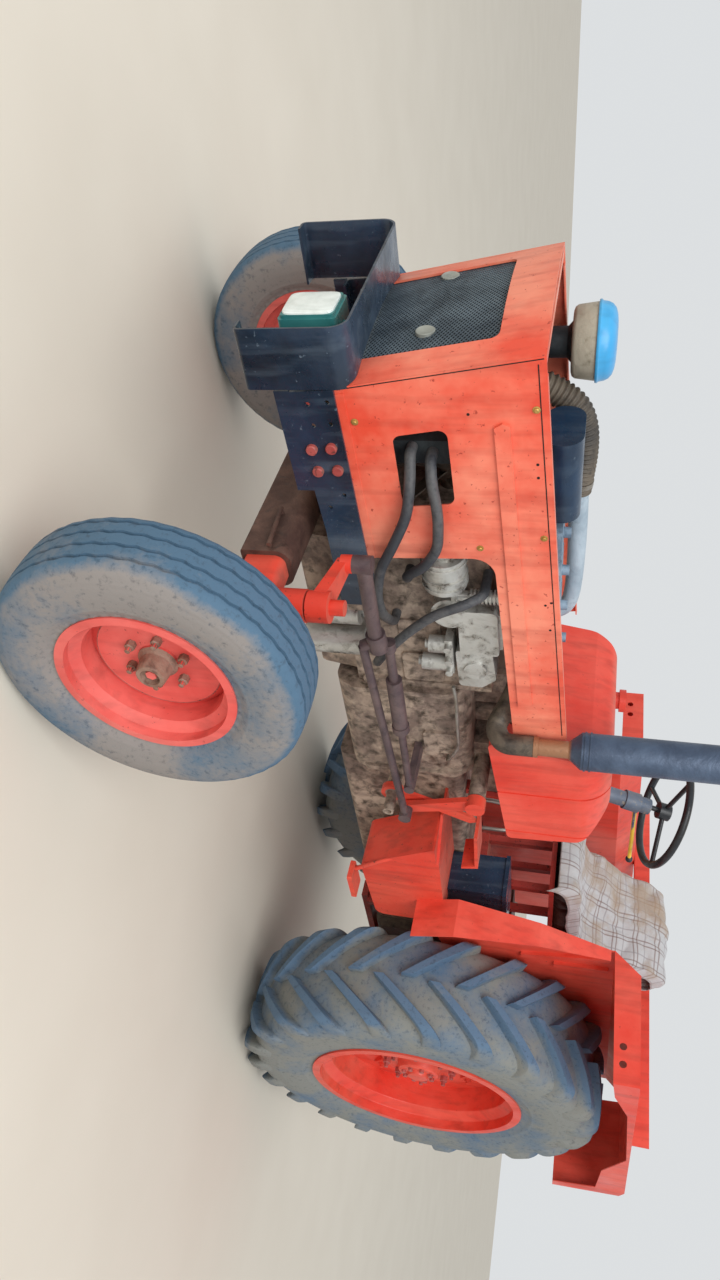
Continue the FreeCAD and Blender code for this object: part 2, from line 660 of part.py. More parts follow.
def front_support():
    """Casting between the rails that the axle beam rocks under."""
    y = RAIL_Y[1] - RAIL_WEB
    cross = block(BLOCK_X[1], 2800, -RAIL_Y[0], RAIL_Y[0], 676, 745)
    nose = block(2800, 3060, -RAIL_Y[0] + 40, RAIL_Y[0] - 40, 690, 735)
    ears = block(WHEELBASE + 47, WHEELBASE + 85, -70, 70, BEAM_TOP + 6, 680)
    back = block(WHEELBASE - 85, WHEELBASE - 47, -70, 70, BEAM_TOP + 6, 680)
    pin = bar((WHEELBASE - 85, 0, 652), (WHEELBASE + 85, 0, 652), 22)
    hanger = block(WHEELBASE - 40, WHEELBASE + 40, -60, 60, BEAM_TOP + 12, 676)
    wings = [block(2600, 2900, side * RAIL_Y[0], side * y, 690, 740) for side in (1,)]
    return joined(cross, nose, ears, back, pin, hanger, wings[0], mirrored(wings[0]))


def bonnet_side():
    corners = [NOSE_BOTTOM + (0,), NOSE_TOP + (0,), BONNET_END_TOP + (0,), BONNET_END_BOTTOM + (0,),
               BONNET_STEP + (60,), PANEL_REAR_BOTTOM + (0,)]
    panel = side_plate(corners, BONNET_HALF - SHEET, BONNET_HALF)
    window = side_plate([(2990, 1012, 22), (2777, 1021, 22), (2762, 889, 22), (2968, 880, 22)],
                        BONNET_HALF - 20, BONNET_HALF + 20)
    lip_y = BONNET_HALF - 22
    ex, ez = BONNET_END_TOP
    fx, fz = on_line(NOSE_TOP, BONNET_END_TOP, 0.04)
    lip = side_plate(sharp([(fx, fz), (ex, ez), (ex, ez - SHEET), (fx, fz - SHEET)]), lip_y, BONNET_HALF)
    proud = BONNET_HALF + RIB_PROUD
    rib = side_plate([(2998, 1121, 0), (3010, 1140, 0), (3004, 1157, 0), (2043, 1216, 0),
                      (2037, 1200, 0), (2029, 1176, 0)], BONNET_HALF - 1, proud)
    low_a, low_b = on_line(NOSE_BOTTOM, PANEL_REAR_BOTTOM, 0.03), PANEL_REAR_BOTTOM
    band = side_plate(sharp([low_a, low_b, (low_b[0] + 2, low_b[1] + 20),
                             (low_a[0] + 3, low_a[1] + 20)]), BONNET_HALF - 1, BONNET_HALF + 2)
    return joined(panel, lip, rib, band).cut(window)


def nose_skin(back, front, half=BONNET_HALF - SHEET - FIT):
    """Slanting bowed slab between two depths behind the nose's face."""
    wires = []
    for x, z in (NOSE_BOTTOM, NOSE_TOP):
        outer = Part.Arc(V(x - front, -half, z), V(x + NOSE_BOW - front, 0, z),
                         V(x - front, half, z)).toShape()
        inner = Part.Arc(V(x - back, half, z), V(x + NOSE_BOW - back, 0, z),
                         V(x - back, -half, z)).toShape()
        right = Part.LineSegment(V(x - front, half, z), V(x - back, half, z)).toShape()
        left = Part.LineSegment(V(x - back, -half, z), V(x - front, -half, z)).toShape()
        wires.append(Part.Wire([outer, right, inner, left]))
    return Part.makeLoft(wires, True, True)


def grille_opening(margin):
    low = NOSE_BOTTOM[1] + 30 - margin
    half = GRILLE_HALF + margin
    return cross_plate([(-half, low, 0), (half, low, 0), (half, GRILLE_TOP + margin, 22),
                        (-half, GRILLE_TOP + margin, 22)], 2900, 3300)


def nose_cowl():
    skin = nose_skin(SHEET + 2, 0).cut(grille_opening(0))
    ledge_z = NOSE_TOP[1]
    half = BONNET_HALF - SHEET - FIT
    x = NOSE_TOP[0]
    ledge = flat_plate(sharp([(x - 30, -half), (x - 3, -half), (x - 3, half), (x - 30, half)]),
                       ledge_z - SHEET, ledge_z)
    return joined(skin, ledge)


def grille():
    """Frame with crossed slanting bars, bowed and leaning as the nose is, and two blank round plates."""
    margin = 12.0
    panel = nose_skin(SHEET + 2 + FIT + 5, SHEET + 2 + FIT).common(grille_opening(margin))
    low = NOSE_BOTTOM[1] + 30
    wide = GRILLE_PITCH / 2 - GRILLE_BAR / 2
    tall = GRILLE_PITCH * 0.8 - GRILLE_BAR / 2
    holes = []
    rows = int((GRILLE_TOP - low) / (GRILLE_PITCH * 0.8))
    for row in range(1, rows):
        shift = GRILLE_PITCH / 2 if row % 2 else 0
        z = low + row * GRILLE_PITCH * 0.8
        columns = int((GRILLE_HALF - wide - shift) / GRILLE_PITCH)
        for column in range(-columns - (1 if shift else 0), columns + 1):
            y = column * GRILLE_PITCH + shift
            holes.append(cross_plate(sharp([(y - wide, z), (y, z - tall), (y + wide, z), (y, z + tall)]),
                                     3000, 3250))
    lattice = panel.cut(Part.makeCompound(holes))
    discs = []
    for y, z in ((-176.0, 958.0), (124.0, 945.0)):
        rise = (z - NOSE_BOTTOM[1]) / (NOSE_TOP[1] - NOSE_BOTTOM[1])
        x = NOSE_BOTTOM[0] + rise * (NOSE_TOP[0] - NOSE_BOTTOM[0])
        bow = NOSE_BOW * (1 - (y / BONNET_HALF) ** 2)
        discs.append(bar((x + bow - 14, y, z), (x + bow - 3, y, z), 23))
    return joined(lattice, *discs)


def front_guard():
    """Bent sheet hood under the grille, open to the front."""
    x0 = NOSE_BOTTOM[0] + FIT
    x1 = GUARD_FRONT_X
    half = RAIL_Y[1]
    wall = GUARD_WALL
    shell = cross_plate([(-half, GUARD_BOTTOM, 14), (half, GUARD_BOTTOM, 14), (half, GUARD_TOP, 46),
                         (-half, GUARD_TOP, 46)], x0, x1)
    hollow = cross_plate([(-half + wall, GUARD_BOTTOM + wall, 8), (half - wall, GUARD_BOTTOM + wall, 8),
                          (half - wall, GUARD_TOP - wall, 40), (-half + wall, GUARD_TOP - wall, 40)], x0,
                          x1)
    mouth = block(x0, x1, -half + 45, half - 45, GUARD_BOTTOM, GUARD_BOTTOM + wall)
    bonnet = nose_skin(400, -FIT, BONNET_HALF + FIT)
    return shell.cut(hollow).cut(mouth).cut(bonnet)


def headlamp():
    """Square work lamp that hangs from the guard's roof."""
    y = 150.0
    z = 690.0
    half = 62.0
    tall = 70.0
    x0 = 3150.0
    x1 = 3222.0
    case = cross_plate([(y - half, z - tall, 12), (y + half, z - tall, 12), (y + half, z + tall, 12),
                        (y - half, z + tall, 12)], x0, x1)
    stem = bar((x0 + 30, y, z + tall), (x0 + 30, y, GUARD_TOP - GUARD_WALL), 9)
    lens = cross_plate([(y - 56, z - 64, 10), (y + 56, z - 64, 10), (y + 56, z + 64, 10),
                        (y - 56, z + 64, 10)], x1, x1 + 8)
    return joined(case, stem, lens)


def radiator():
    half = RADIATOR_HALF
    x0, x1 = RADIATOR_X
    core = block(x0 + 8, x1 - 8, -half, half, 800, 1120)
    top = cross_plate([(-half, 1120, 0), (half, 1120, 0), (half, 1185, 24), (-half, 1185, 24)], x0, x1)
    foot = block(x0, x1, -half, half, 745, 800)
    return joined(core, top, foot)


# Engine

def engine_block():
    x0, x1 = BLOCK_X
    z0, z1 = BLOCK_Z
    case = block(x0, x1, -BLOCK_HALF, BLOCK_HALF, z0, z1)
    sump = cross_plate([(-120, 500, 30), (120, 500, 30), (145, z0, 0), (-145, z0, 0)], x0 + 30, x1 - 30)
    timing = block(x1, x1 + TIMING_DEPTH, -150, 150, 750, z1 - 20)
    mount = block(RAIL_REAR_X - 30, x1, BLOCK_HALF, RAIL_Y[0] + 42, 696, 756)
    doors = [side_plate([(x, 800, 14), (x + 125, 800, 14), (x + 125, 930, 14), (x, 930, 14)], BLOCK_HALF,
                        BLOCK_HALF + 9) for x in (1975, 2120)]
    flange = block(x0, x0 + 22, -BLOCK_HALF - 14, BLOCK_HALF + 14, z0 + 20, z1)
    return joined(case, sump, timing, flange, mount, mirrored(mount), *doors)


def engine_pipes():
    """Injector pipes from the pump to the head, and the steel pipe along the engine's side."""
    y = BLOCK_HALF + 40
    over = HEAD_TOP + 28
    pieces = []
    for x, target in zip(PUMP_UNION_X, (2040, 2190, 2330, 2470)):
        pieces.append(bent_tube([(x, y, PUMP_UNION_TOP + FIT), (x, y, over - 30), (target, 190, over),
                                 (target, 125, over), (target, 98, over - 12),
                                 (target, 98, HEAD_TOP + FIT)], 4, 0.35))
    run = bent_tube([(2020, BLOCK_HALF + 64, 968), (1960, BLOCK_HALF + 66, 975), (1850, 232, 972),
                     (1700, 226, 970), (1615, 222, 925), (1615, BELL_HALF + FIT, 925)], 6, 0.4)
    return beside(*pieces, run)


def cylinder_head():
    x0, x1 = BLOCK_X
    head = block(x0 + 20, x1 - 20, -115, 115, BLOCK_Z[1], HEAD_TOP)
    pieces = [head]
    pitch = (x1 - x0 - 40) / 4
    for number in range(4):
        x = x0 + 20 + pitch * (number + 0.5)
        cover = flat_plate([(x - 58, -75, 26), (x + 58, -75, 26), (x + 58, 75, 26), (x - 58, 75, 26)],
                           HEAD_TOP, HEAD_TOP + 70)
        pieces.append(cover)
        pieces.append(bar((x, 0, HEAD_TOP + 70), (x, 0, HEAD_TOP + 92), 16))
    return joined(*pieces)


def engine_fan():
    x = 2700.0
    z = 960.0
    hub = bar((x - 25, 0, z), (x + 15, 0, z), 55)
    shaft = bar((BLOCK_X[1] + TIMING_DEPTH, 0, z), (x - 25, 0, z), 30)
    pieces = [hub, shaft]
    for number in range(6):
        blade = block(x - 8, x - 4, -32, 32, 40, 185)
        blade.rotate(V(x - 6, 0, 0), V(0, 0, 1), 24)
        blade.rotate(V(x, 0, 0), V(1, 0, 0), 60 * number)
        blade.translate(V(0, 0, z))
        pieces.append(blade)
    return joined(*pieces)


def engine_side_units():
    """Injection pump, fuel filters and oil canisters on the engine's left side."""
    return beside(injection_pump(), fuel_filters(), oil_filters())


def injection_pump():
    """Pump with its slanted governor housing, a round feed housing in front and a finned coil on it."""
    y0 = BLOCK_HALF
    body = side_plate([(2190, 1000, 8), (2365, 1000, 8), (2365, 1112, 20), (2190, 1116, 12)], y0,
                      y0 + 82)
    lid = side_plate([(2205, 1110, 0), (2350, 1108, 0), (2345, 1124, 6), (2210, 1126, 6)], y0 + 12,
                     y0 + 70)
    governor = side_plate([(2040, 990, 14), (2192, 984, 10), (2192, 1094, 10), (2075, 1104, 16),
                           (2036, 1060, 14)], y0, y0 + 72)
    cover = bar((2115, y0 + 70, 1042), (2115, y0 + 80, 1042), 34)
    feed = bar((2362, y0 + 32, 985), (2432, y0 + 32, 985), 30)
    dome = joined(bar((2345, y0, 975), (2345, y0 + 74, 975), 54),
                  bar((2345, y0 + 70, 975), (2345, y0 + 86, 975), 40))
    fins = [bar((2408, y0 + 60, z), (2408, y0 + 60, z + 6), 22) for z in range(1036, 1116, 11)]
    core = bar((2408, y0 + 60, 1000), (2408, y0 + 60, 1118), 15)
    neck = bar((2408, y0 + 60, 985), (2408, y0 + 60, 1002), 22)
    unions = [bar((x, y0 + 40, 1120), (x, y0 + 40, PUMP_UNION_TOP), 8) for x in PUMP_UNION_X]
    return joined(body, lid, governor, cover, feed, dome, core, neck, *fins, *unions)


def fuel_filters():
    """Two bowls with their heads, hung below the pump."""
    y = BLOCK_HALF + 60
    pieces = [block(2100, 2240, BLOCK_HALF, y + 20, 955, 978)]
    for x, low in ((2127.0, 880.0), (2205.0, 905.0)):
        pieces.append(bar((x, y, low), (x, y, 957), 27))
        pieces.append(bar((x, y, low - 12), (x, y, low), 14))
    for x in (2120.0, 2165.0, 2220.0):
        pieces.append(bar((x, y + 8, 966), (x, y + 42, 966), 11))
    return joined(*pieces)


def alternator():
    y = BLOCK_HALF + 78
    z = 972.0
    body = bar((2470, y, z), (2575, y, z), 60)
    ribs = [bar((x, y, z), (x + 6, y, z), 64) for x in (2482, 2510, 2556)]
    pulley = bar((2575, y, z), (2610, y, z), 36)
    bracket = block(2490, 2530, BLOCK_HALF, y, z - 18, z + 18)
    return joined(body, pulley, bracket, *ribs)


def oil_filters():
    """Two canisters low on the engine's left side."""
    z0 = 520.0
    y = BLOCK_HALF + 62
    pieces = []
    for x in (2330.0, 2200.0):
        pieces.append(joined(bar((x, y, z0), (x, y, z0 + 190), 46),
                             block(x - 30, x + 30, BLOCK_HALF, y, z0 + 150, z0 + 200)))
    return beside(*pieces)


def exhaust_manifold():
    """Log along the head above the pump, with its ports, and the elbow out to the stack."""
    y = BLOCK_HALF - 3
    z = LOG_Z
    log = bar((2000, y, z), (2500, y, z), LOG_R)
    ports = [block(x - 24, x + 24, 115, y, z - 25, z + 25) for x in (2040, 2190, 2330, 2470)]
    elbow = bent_tube([(2000, y, z), (1940, y + 26, z - 20), (STACK_X + 8, STACK_Y - 55, 1100),
                       (STACK_X, STACK_Y, 1130), (STACK_X, STACK_Y, 1225)], PIPE_R + 6, 0.4)
    return joined(log, elbow, *ports)


def exhaust_stack():
    x = STACK_X
    y = STACK_Y
    neck = bar((x, y, 1225), (x, y, 1335), PIPE_R)
    taper = Part.makeCone(PIPE_R, MUFFLER_R, 38, V(x, y, 1332))
    muffler = bar((x, y, 1370), (x, y, 1900), MUFFLER_R)
    cone = Part.makeCone(MUFFLER_R, PIPE_R, 40, V(x, y, 1900))
    tail = bar((x, y, 1940), (x, y, STACK_TOP), PIPE_R)
    bands = [bar((x, y, z), (x, y, z + 6), MUFFLER_R + 3) for z in (1378, 1394, 1880)]
    clamp = bar((x, y, 1226), (x, y, 1240), PIPE_R + 6)
    return joined(neck, taper, muffler, cone, tail, clamp, *bands)


def air_precleaner():
    x = 2950.0
    y = -195.0
    bowl = bar((x, y, 1258), (x, y, 1322), 98)
    stem = bar((x, y, 1185), (x, y, 1258), 40)
    cap = bar((x, y, 1322), (x, y, 1372), 104)
    return joined(stem, bowl, cap)


def air_filter():
    body = cross_plate([(-95, 1215, 50), (95, 1215, 50), (95, 1318, 50), (-95, 1318, 50)], 2575, 2820)
    foot = block(2529, 2640, -40, 40, 1216, 1226)
    leg = block(2529, 2540, -40, 40, HEAD_TOP + FIT, 1226)
    return joined(body, foot, leg)


def intake_hose():
    hose = bent_tube([(2950, -110, 1288), (2950, -50, 1290), (2925, -8, 1330), (2850, 0, 1362),
                      (2750, 0, 1362), (2690, 0, 1300)], 36, 0.42)
    return hose.cut(air_precleaner()).cut(air_filter())


# Gearbox and rear axle

def gearbox():
    bell = cross_plate([(-BELL_HALF, 560, 60), (BELL_HALF, 560, 60), (BELL_HALF, BELL_TOP, 70),
                        (-BELL_HALF, BELL_TOP, 70)], BELL_X, BLOCK_X[0])
    case = cross_plate([(-GEARBOX_HALF, 500, 30), (GEARBOX_HALF, 500, 30),
                        (GEARBOX_HALF, GEARBOX_TOP, 40), (-GEARBOX_HALF, GEARBOX_TOP, 40)], CENTRE_X[1],
                        BELL_X)
    plate = side_plate([(1640, 846, 12), (1745, 846, 12), (1745, 962, 12), (1640, 962, 12)],
                       BELL_HALF - 1, BELL_HALF + 12)
    flanges = [cross_plate([(-BELL_HALF - 12, 600, 40), (BELL_HALF + 12, 600, 40),
                            (BELL_HALF + 12, 985, 60), (-BELL_HALF - 12, 985, 60)], x,
                            x + 20) for x in (BELL_X, BLOCK_X[0] - 20)]
    pads = [block(x, x + 60, -60, 60, BELL_TOP - 2, TANK_FLOOR - FIT) for x in (1660, 1760)]
    return joined(bell, case, steering_box(), cross_shaft(), mirrored(cross_shaft()), plate, *flanges,
                  *pads)


def rear_axle():
    """Centre housing with a trumpet to each wheel; each end is bored for the wheel's shaft."""
    x0, x1 = CENTRE_X
    z = REAR_AXLE_Z
    centre = cross_plate([(-CENTRE_HALF, CENTRE_BOTTOM, 50), (CENTRE_HALF, CENTRE_BOTTOM, 50),
                          (CENTRE_HALF, CENTRE_TOP, 60), (-CENTRE_HALF, CENTRE_TOP, 60)], x0, x1)
    lift_x, lift_z = LIFT_SHAFT
    cover = cross_plate([(-150, CENTRE_TOP, 0), (150, CENTRE_TOP, 0), (150, CENTRE_TOP + 120, 40),
                         (-150, CENTRE_TOP + 120, 40)], x0 + 20, x1 - 20)
    end = REAR_TRACK / 2 - 45 - 25 - CLEAR
    trumpet = wheel_turned(sharp([(CENTRE_HALF - 10, 0), (CENTRE_HALF - 10, 170),
                                  (CENTRE_HALF + 30, 160), (CENTRE_HALF + 90, TRUMPET_R),
                                  (end - 30, TRUMPET_R), (end - 30, 118), (end, 118),
                                  (end, AXLE_SHAFT_R + FIT), (end - 70, AXLE_SHAFT_R + FIT),
                                  (end - 70, 0)]), 0, 0, z)
    body = joined(centre, cover, trumpet, mirrored(trumpet))
    return body.cut(bar((lift_x, -CENTRE_HALF, lift_z), (lift_x, CENTRE_HALF, lift_z),
                        LIFT_SHAFT_R + FIT))


# Tank, dash and column

def column_point(z):
    """Point of the steering column's axis at a height."""
    (x0, z0), (x1, z1) = COLUMN_FOOT, COLUMN_TOP
    return x0 + (x1 - x0) * (z - z0) / (z1 - z0)


def tank_body(inset):
    """Saddle-shaped tank, smaller all round by the inset."""
    side = side_plate([(1299 + inset, 1137 + inset, 20), (1322 + inset, 1403, 60),
                       (1487, TANK_TOP - inset, 60), (1745, TANK_TOP - 4 - inset, 50),
                       (1777 - inset, 1400, 20), (1842 - inset, 1078 + inset, 20)], -TANK_HALF,
                       TANK_HALF)
    half = TANK_HALF - inset
    floor = TANK_FLOOR + inset
    section = cross_plate([(-half, 1000, 0), (-210 - inset, 1000, 0), (-200 - inset, floor, 40),
                           (200 + inset, floor, 40), (210 + inset, 1000, 0), (half, 1000, 0),
                           (half, TANK_TOP + 6 - inset, 115), (-half, TANK_TOP + 6 - inset, 115)], 1200,
                           1900)
    return side.common(section)


def fuel_tank():
    """Tank cut out below for the clutch case and behind for the steering column, with two strap grooves."""
    notch = bar((column_point(1050), 0, 1050), (column_point(1500), 0, 1500), COLUMN_R + 12)
    filler = joined(bar((1640, -100, TANK_TOP - 10), (1640, -100, TANK_TOP + 14), 30),
                    bar((1640, -100, TANK_TOP + 12), (1640, -100, TANK_TOP + 34), 40))
    core = tank_body(4)
    grooves = [block(x, x + 8, -TANK_HALF - 5, TANK_HALF + 5, 1000, 1600).cut(core) for x in (1345,
                                                                                              1576)]
    return joined(tank_body(0), filler).cut(notch).cut(Part.makeCompound(grooves))


def instrument_panel():
    face = side_plate(sharp([(1262, 1150), (1296, 1150), (1318, 1395), (1250, 1400), (1235, 1370)]), 60,
                      215)
    foot = block(1262, 1290, 60, 105, GEARBOX_TOP + FIT, 1150)
    return both_sides(joined(face, foot))


def steering_column():
    """Leaning tube with its bracket, collar and hand throttle, bored at the top for the wheel's shaft."""
    top = 1640.0
    foot = STEERING_BOX_TOP + 12
    knob_at = V(865, 60, 1592)
    tube = bar((column_point(foot), 0, foot), (column_point(top), 0, top), COLUMN_R)
    bracket = block(column_point(1300) - 22, column_point(1300) + 6, -60, 60, 1285, 1315)
    collar = bar((column_point(1545), 0, 1545), (column_point(1600), 0, 1600), COLUMN_R + 7)
    lever = bar((column_point(1590), 0, 1590), tuple(knob_at), 7)
    bore = bar((column_point(1500), 0, 1500), COLUMN_TOP[:1] + (0,) + COLUMN_TOP[1:], SHAFT_R + FIT)
    return joined(tube, bracket, collar, lever, Part.makeSphere(13, knob_at)).cut(bore)


def steering_wheel():
    x1, z1 = COLUMN_TOP
    lean = V(COLUMN_TOP[0] - COLUMN_FOOT[0], 0, COLUMN_TOP[1] - COLUMN_FOOT[1]).normalize()
    hub_base = V(x1, 0, z1)
    ring = Part.makeTorus(WHEEL_RING_R - WHEEL_RING_TUBE, WHEEL_RING_TUBE, hub_base + lean * 24, lean)
    hub = Part.makeCylinder(32, 44, hub_base, lean)
    shaft = Part.makeCylinder(SHAFT_R, 100, hub_base - lean * 95, lean)
    pieces = [ring, hub]
    flat = V(lean.z, 0, -lean.x)
    for number in range(3):
        turn = FreeCAD.Rotation(lean, 120 * number)
        way = turn.multVec(flat)
        centre = hub_base + lean * 24
        pieces.append(Part.makeCylinder(9, WHEEL_RING_R - WHEEL_RING_TUBE - 8, centre, way))
    return joined(*pieces, shaft)


# Platform, pedals and levers

def footboard():
    inner, outer = PLATFORM_Y
    plate = flat_plate(sharp([(880, GEARBOX_HALF), (1350, GEARBOX_HALF), (1350, inner + 45),
                              (1240, outer), (880, outer)]), 893, 903)
    box = side_plate([(800, 620, 40), (1180, 600, 40), (1335, 885, 0), (1335, 893, 0), (800, 893, 0)],
                     inner, outer)
    strap = bar((1250, outer - 20, 770), (1190, outer + 30, 590), 9)
    pad = flat_plate([(1070, outer + 10, 6), (1215, outer + 10, 6), (1215, outer + 85, 6),
                      (1070, outer + 85, 6)], 572, 590)
    return joined(plate, box, strap, pad)


def cross_shaft():
    """Pedal shaft from the bell's side, slimmer past the pedal's ring to let the drop arm swing."""
    x, z = PEDAL_SHAFT
    seat = bar((x, BELL_HALF, z), (x, PEDAL_RING_Y, z), PEDAL_SHAFT_R)
    end = bar((x, PEDAL_RING_Y, z), (x, 385, z), PEDAL_SHAFT_R - 7)
    bore = bar((x, PEDAL_RING_Y, z), (x, 390, z), PEDAL_SHAFT_R - 14)
    return joined(seat, end).cut(bore)


def clutch_pedal():
    """Bent arm on its ring round the shaft, with a tread plate folded down at its front."""
    x, z = PEDAL_SHAFT
    y1 = PEDAL_RING_Y - 4
    y0 = y1 - 12
    bore = bar((x, y0 - 10, z), (x, PEDAL_RING_Y + 10, z), PEDAL_SHAFT_R)
    ring = bar((x, y0 - 8, z), (x, PEDAL_RING_Y, z), PEDAL_SHAFT_R + 14)
    arm = side_plate([(x - 26, z, 0), (x + 22, z + 24, 0), (1470, 900, 60), (1400, 1020, 40),
                      (1380, 1030, 0), (1370, 1005, 0), (1430, 880, 60)], y0, y1)
    tread = side_plate(sharp([(1170, 976), (1182, 976), (1196, 1026), (1390, 1030), (1390, 1042),
                              (1184, 1038)]), 255, 375)
    return joined(arm, ring, tread).cut(bore)


def hand_levers():
    gear = bent_tube([(1120, 30, GEARBOX_TOP + FIT), (1120, 30, 1080), (1060, 40, 1180),
                      (1000, 60, 1290)], 9, 0.4)
    knob = Part.makeSphere(20, V(1000, 60, 1295))
    park = bent_tube([(700, -105, GEARBOX_TOP + FIT), (700, -105, 1060), (640, -150, 1180)], 9, 0.4)
    grip = bar((676, -121, 1108), (640, -150, 1180), 12)
    return beside(joined(gear, knob), joined(park, grip))


# Fenders and seat

def fender():
    """Welded sheet: inner wall, chamfer and top in one bend, front flange and plate, back plate and outer lip."""
    y0 = FENDER_INNER
    y1 = FENDER_OUTER
    t = SHEET
    lap = 1.5
    fx, fz = FENDER_FRONT
    rx, rz = FENDER_REAR
    dx, dz = FENDER_DROP
    low = fz - FENDER_CHAMFER
    ridge = y0 + FENDER_RIDGE
    section = outline(sharp([(y0, low - 40), (y0, low), (ridge, fz), (y1, fz), (y1, fz - t),
                             (ridge + lap, fz - t), (y0 + t, low - lap), (y0 + t, low - 40)]),
                             lambda p: V(fx, p.x, p.y))
    bend = Part.Face(section).extrude(V(rx - fx, 0, rz - fz))
    inner = side_plate(sharp(FENDER_EDGE + [(fx, low - 15), (rx, rz - FENDER_CHAMFER - 15), (rx, 1150),
                                            (-420, 1000), (-250, 930), (250, 930), (520, 900)]), y0,
                                            y0 + t)
    front = cross_plate(sharp([(y0 + lap, low - 2), (ridge, fz - lap), (y1 - lap, fz - lap),
                               (y1 - lap, fz - FENDER_LIP), (ridge, low)]), fx - t, fx)
    lip = side_plate(sharp([(fx, fz - lap), (rx, rz - lap), (dx - 20, rz - 20), (dx - 60, dz), (dx, dz),
                            (-560, 1580), (-285, 1590), (-70, 1675), (470, 1634), (649, 1576),
                            (fx, fz - FENDER_LIP)]), y1 - t, y1)
    back = side_plate(sharp([(rx + t, rz - lap), (dx - 20, rz - 20), (dx - 60, dz), (dx - 60 + t, dz),
                             (dx - 20 + t, rz - 20 - t), (rx + t, rz - t + 0.5)]), ridge + lap, y1 - lap)
    (ax, az), (bx, bz), (cx, cz) = FENDER_EDGE
    flange = side_plate(sharp([(ax, az), (bx, bz), (cx, cz), (fx, low - 15), (fx - t, low - 18),
                               (cx - t, cz - 2), (bx - t - 1, bz), (ax - t, az)]), y0 + lap, y0 + 150)
    trim = cross_plate(sharp([(y0, az - 10), (y0 + 150, az - 10), (y0 + 150, bz), (y0 + 40, low),
                              (y0, low)]), fx - 50, bx + 50)
    ribs = []
    for foot_x, foot_z, head_x in ((640, 1200, 706), (596, 1330, 610)):
        ribs.append(side_plate(sharp([(foot_x, foot_z), (foot_x + 26, foot_z), (head_x + 26, 1540),
                                      (head_x, 1540)]), y0 + t - 1, y0 + t + 14))
    holes = [bar((fx - 30, y, 1592), (fx + 30, y, 1592), 13) for y in (767, 828)]
    sheet = joined(bend, inner, front, lip, back, flange.common(trim), *ribs)
    return sheet.cut(Part.makeCompound(holes))


def cross_board():
    """Angle iron across the fenders behind the seat."""
    x = -100.0
    (fx, fz), (rx, rz) = FENDER_FRONT, FENDER_REAR
    z = fz + (rz - fz) * (x - fx) / (rx - fx) + FIT
    upright = block(x, x + 6, -830, 830, z, z + 78)
    foot = block(x, x + 45, -830, 830, z, z + 6)
    return joined(upright, foot)


def tool_box():
    """Lidded sheet box on the left platform, against the fender's wall."""
    body = block(640, 925, GEARBOX_HALF + 12, 330, 903 + FIT, 1118)
    lid = block(634, 931, GEARBOX_HALF + 6, 336, 1118, 1134)
    return joined(body, lid)


def seat_frame():
    post = block(380, 640, -120, 120, GEARBOX_TOP + FIT, 1010)
    legs = [block(400, 430, -120, -90, 1010, 1290), block(400, 430, 90, 120, 1010, 1290),
            block(600, 630, -120, -90, 1010, 1290), block(600, 630, 90, 120, 1010, 1290)]
    deck = block(340, 780, -200, 200, SEAT_DECK_TOP - 20, SEAT_DECK_TOP)
    return joined(post, deck, *legs)


def seat_cushion():
    base = side_plate([(330, SEAT_DECK_TOP + FIT, 20), (SEAT_FRONT_X, SEAT_DECK_TOP + FIT, 20),
                       (SEAT_FRONT_X, SEAT_TOP - 25, 30), (330, SEAT_TOP - 25, 10)], -SEAT_HALF,
                       SEAT_HALF)
    bx, bz = BACK_TOP
    back = side_plate([(215, SEAT_TOP - 60, 20), (329, SEAT_TOP - 60, 20), (bx + 90, bz - 20, 25),
                       (bx, bz - 20, 25)], -SEAT_HALF, SEAT_HALF)
    bridge = block(215, 340, -SEAT_HALF + 20, SEAT_HALF - 20, SEAT_DECK_TOP + FIT, SEAT_TOP - 50)
    return joined(base, back, bridge)


def seat_cover():
    """Blanket laid over the seat and its back, as a closed sheet."""
    bx, bz = BACK_TOP
    t = 12.0
    top = SEAT_TOP - 25 + 0.5
    path = [(bx - 14, 1480), (bx - 14, bz), (bx + 98, bz), (349, top + t), (SEAT_FRONT_X + 14, top + t),
            (SEAT_FRONT_X + 14, 1335), (SEAT_FRONT_X + 2, 1335), (SEAT_FRONT_X + 2, top), (341, top),
            (bx + 92, bz - t), (bx - 2, bz - t), (bx - 2, 1480)]
    return side_plate(sharp(path), -SEAT_HALF - 30, SEAT_HALF + 30)


# Hitch

def link_point(distance):
    """Point of a lower link at a distance behind its front pin."""
    slope = math.radians(LINK_SLOPE)
    x0, z0 = LINK_PIVOT
    share = distance / LINK_LENGTH
    return (x0 - distance * math.cos(slope), LINK_Y[0] + (LINK_Y[1] - LINK_Y[0]) * share,
            z0 - distance * math.sin(slope))


def lower_link():
    front = link_point(0)
    rear = link_point(LINK_LENGTH)
    x0, y0, z0 = front
    x1, y1, z1 = rear
    eye = bar((x0, y0 - 12, z0), (x0, y0 + 12, z0), 32)
    ball = bar((x1, y1 - 16, z1), (x1, y1 + 16, z1), 32)
    slab = flat_plate(sharp([(x0, y0 - 9), (x0, y0 + 9), (x1, y1 + 9), (x1, y1 - 9)]), z1 - 25, z0 + 25)
    body = joined(eye, slab, ball)
    hole = bar((x1, y1 - 40, z1), (x1, y1 + 40, z1), LINK_EYE_R)
    pin_hole = bar((x0, y0 - 40, z0), (x0, y0 + 40, z0), LINK_PIN_R + FIT)
    return body.cut(hole).cut(pin_hole)


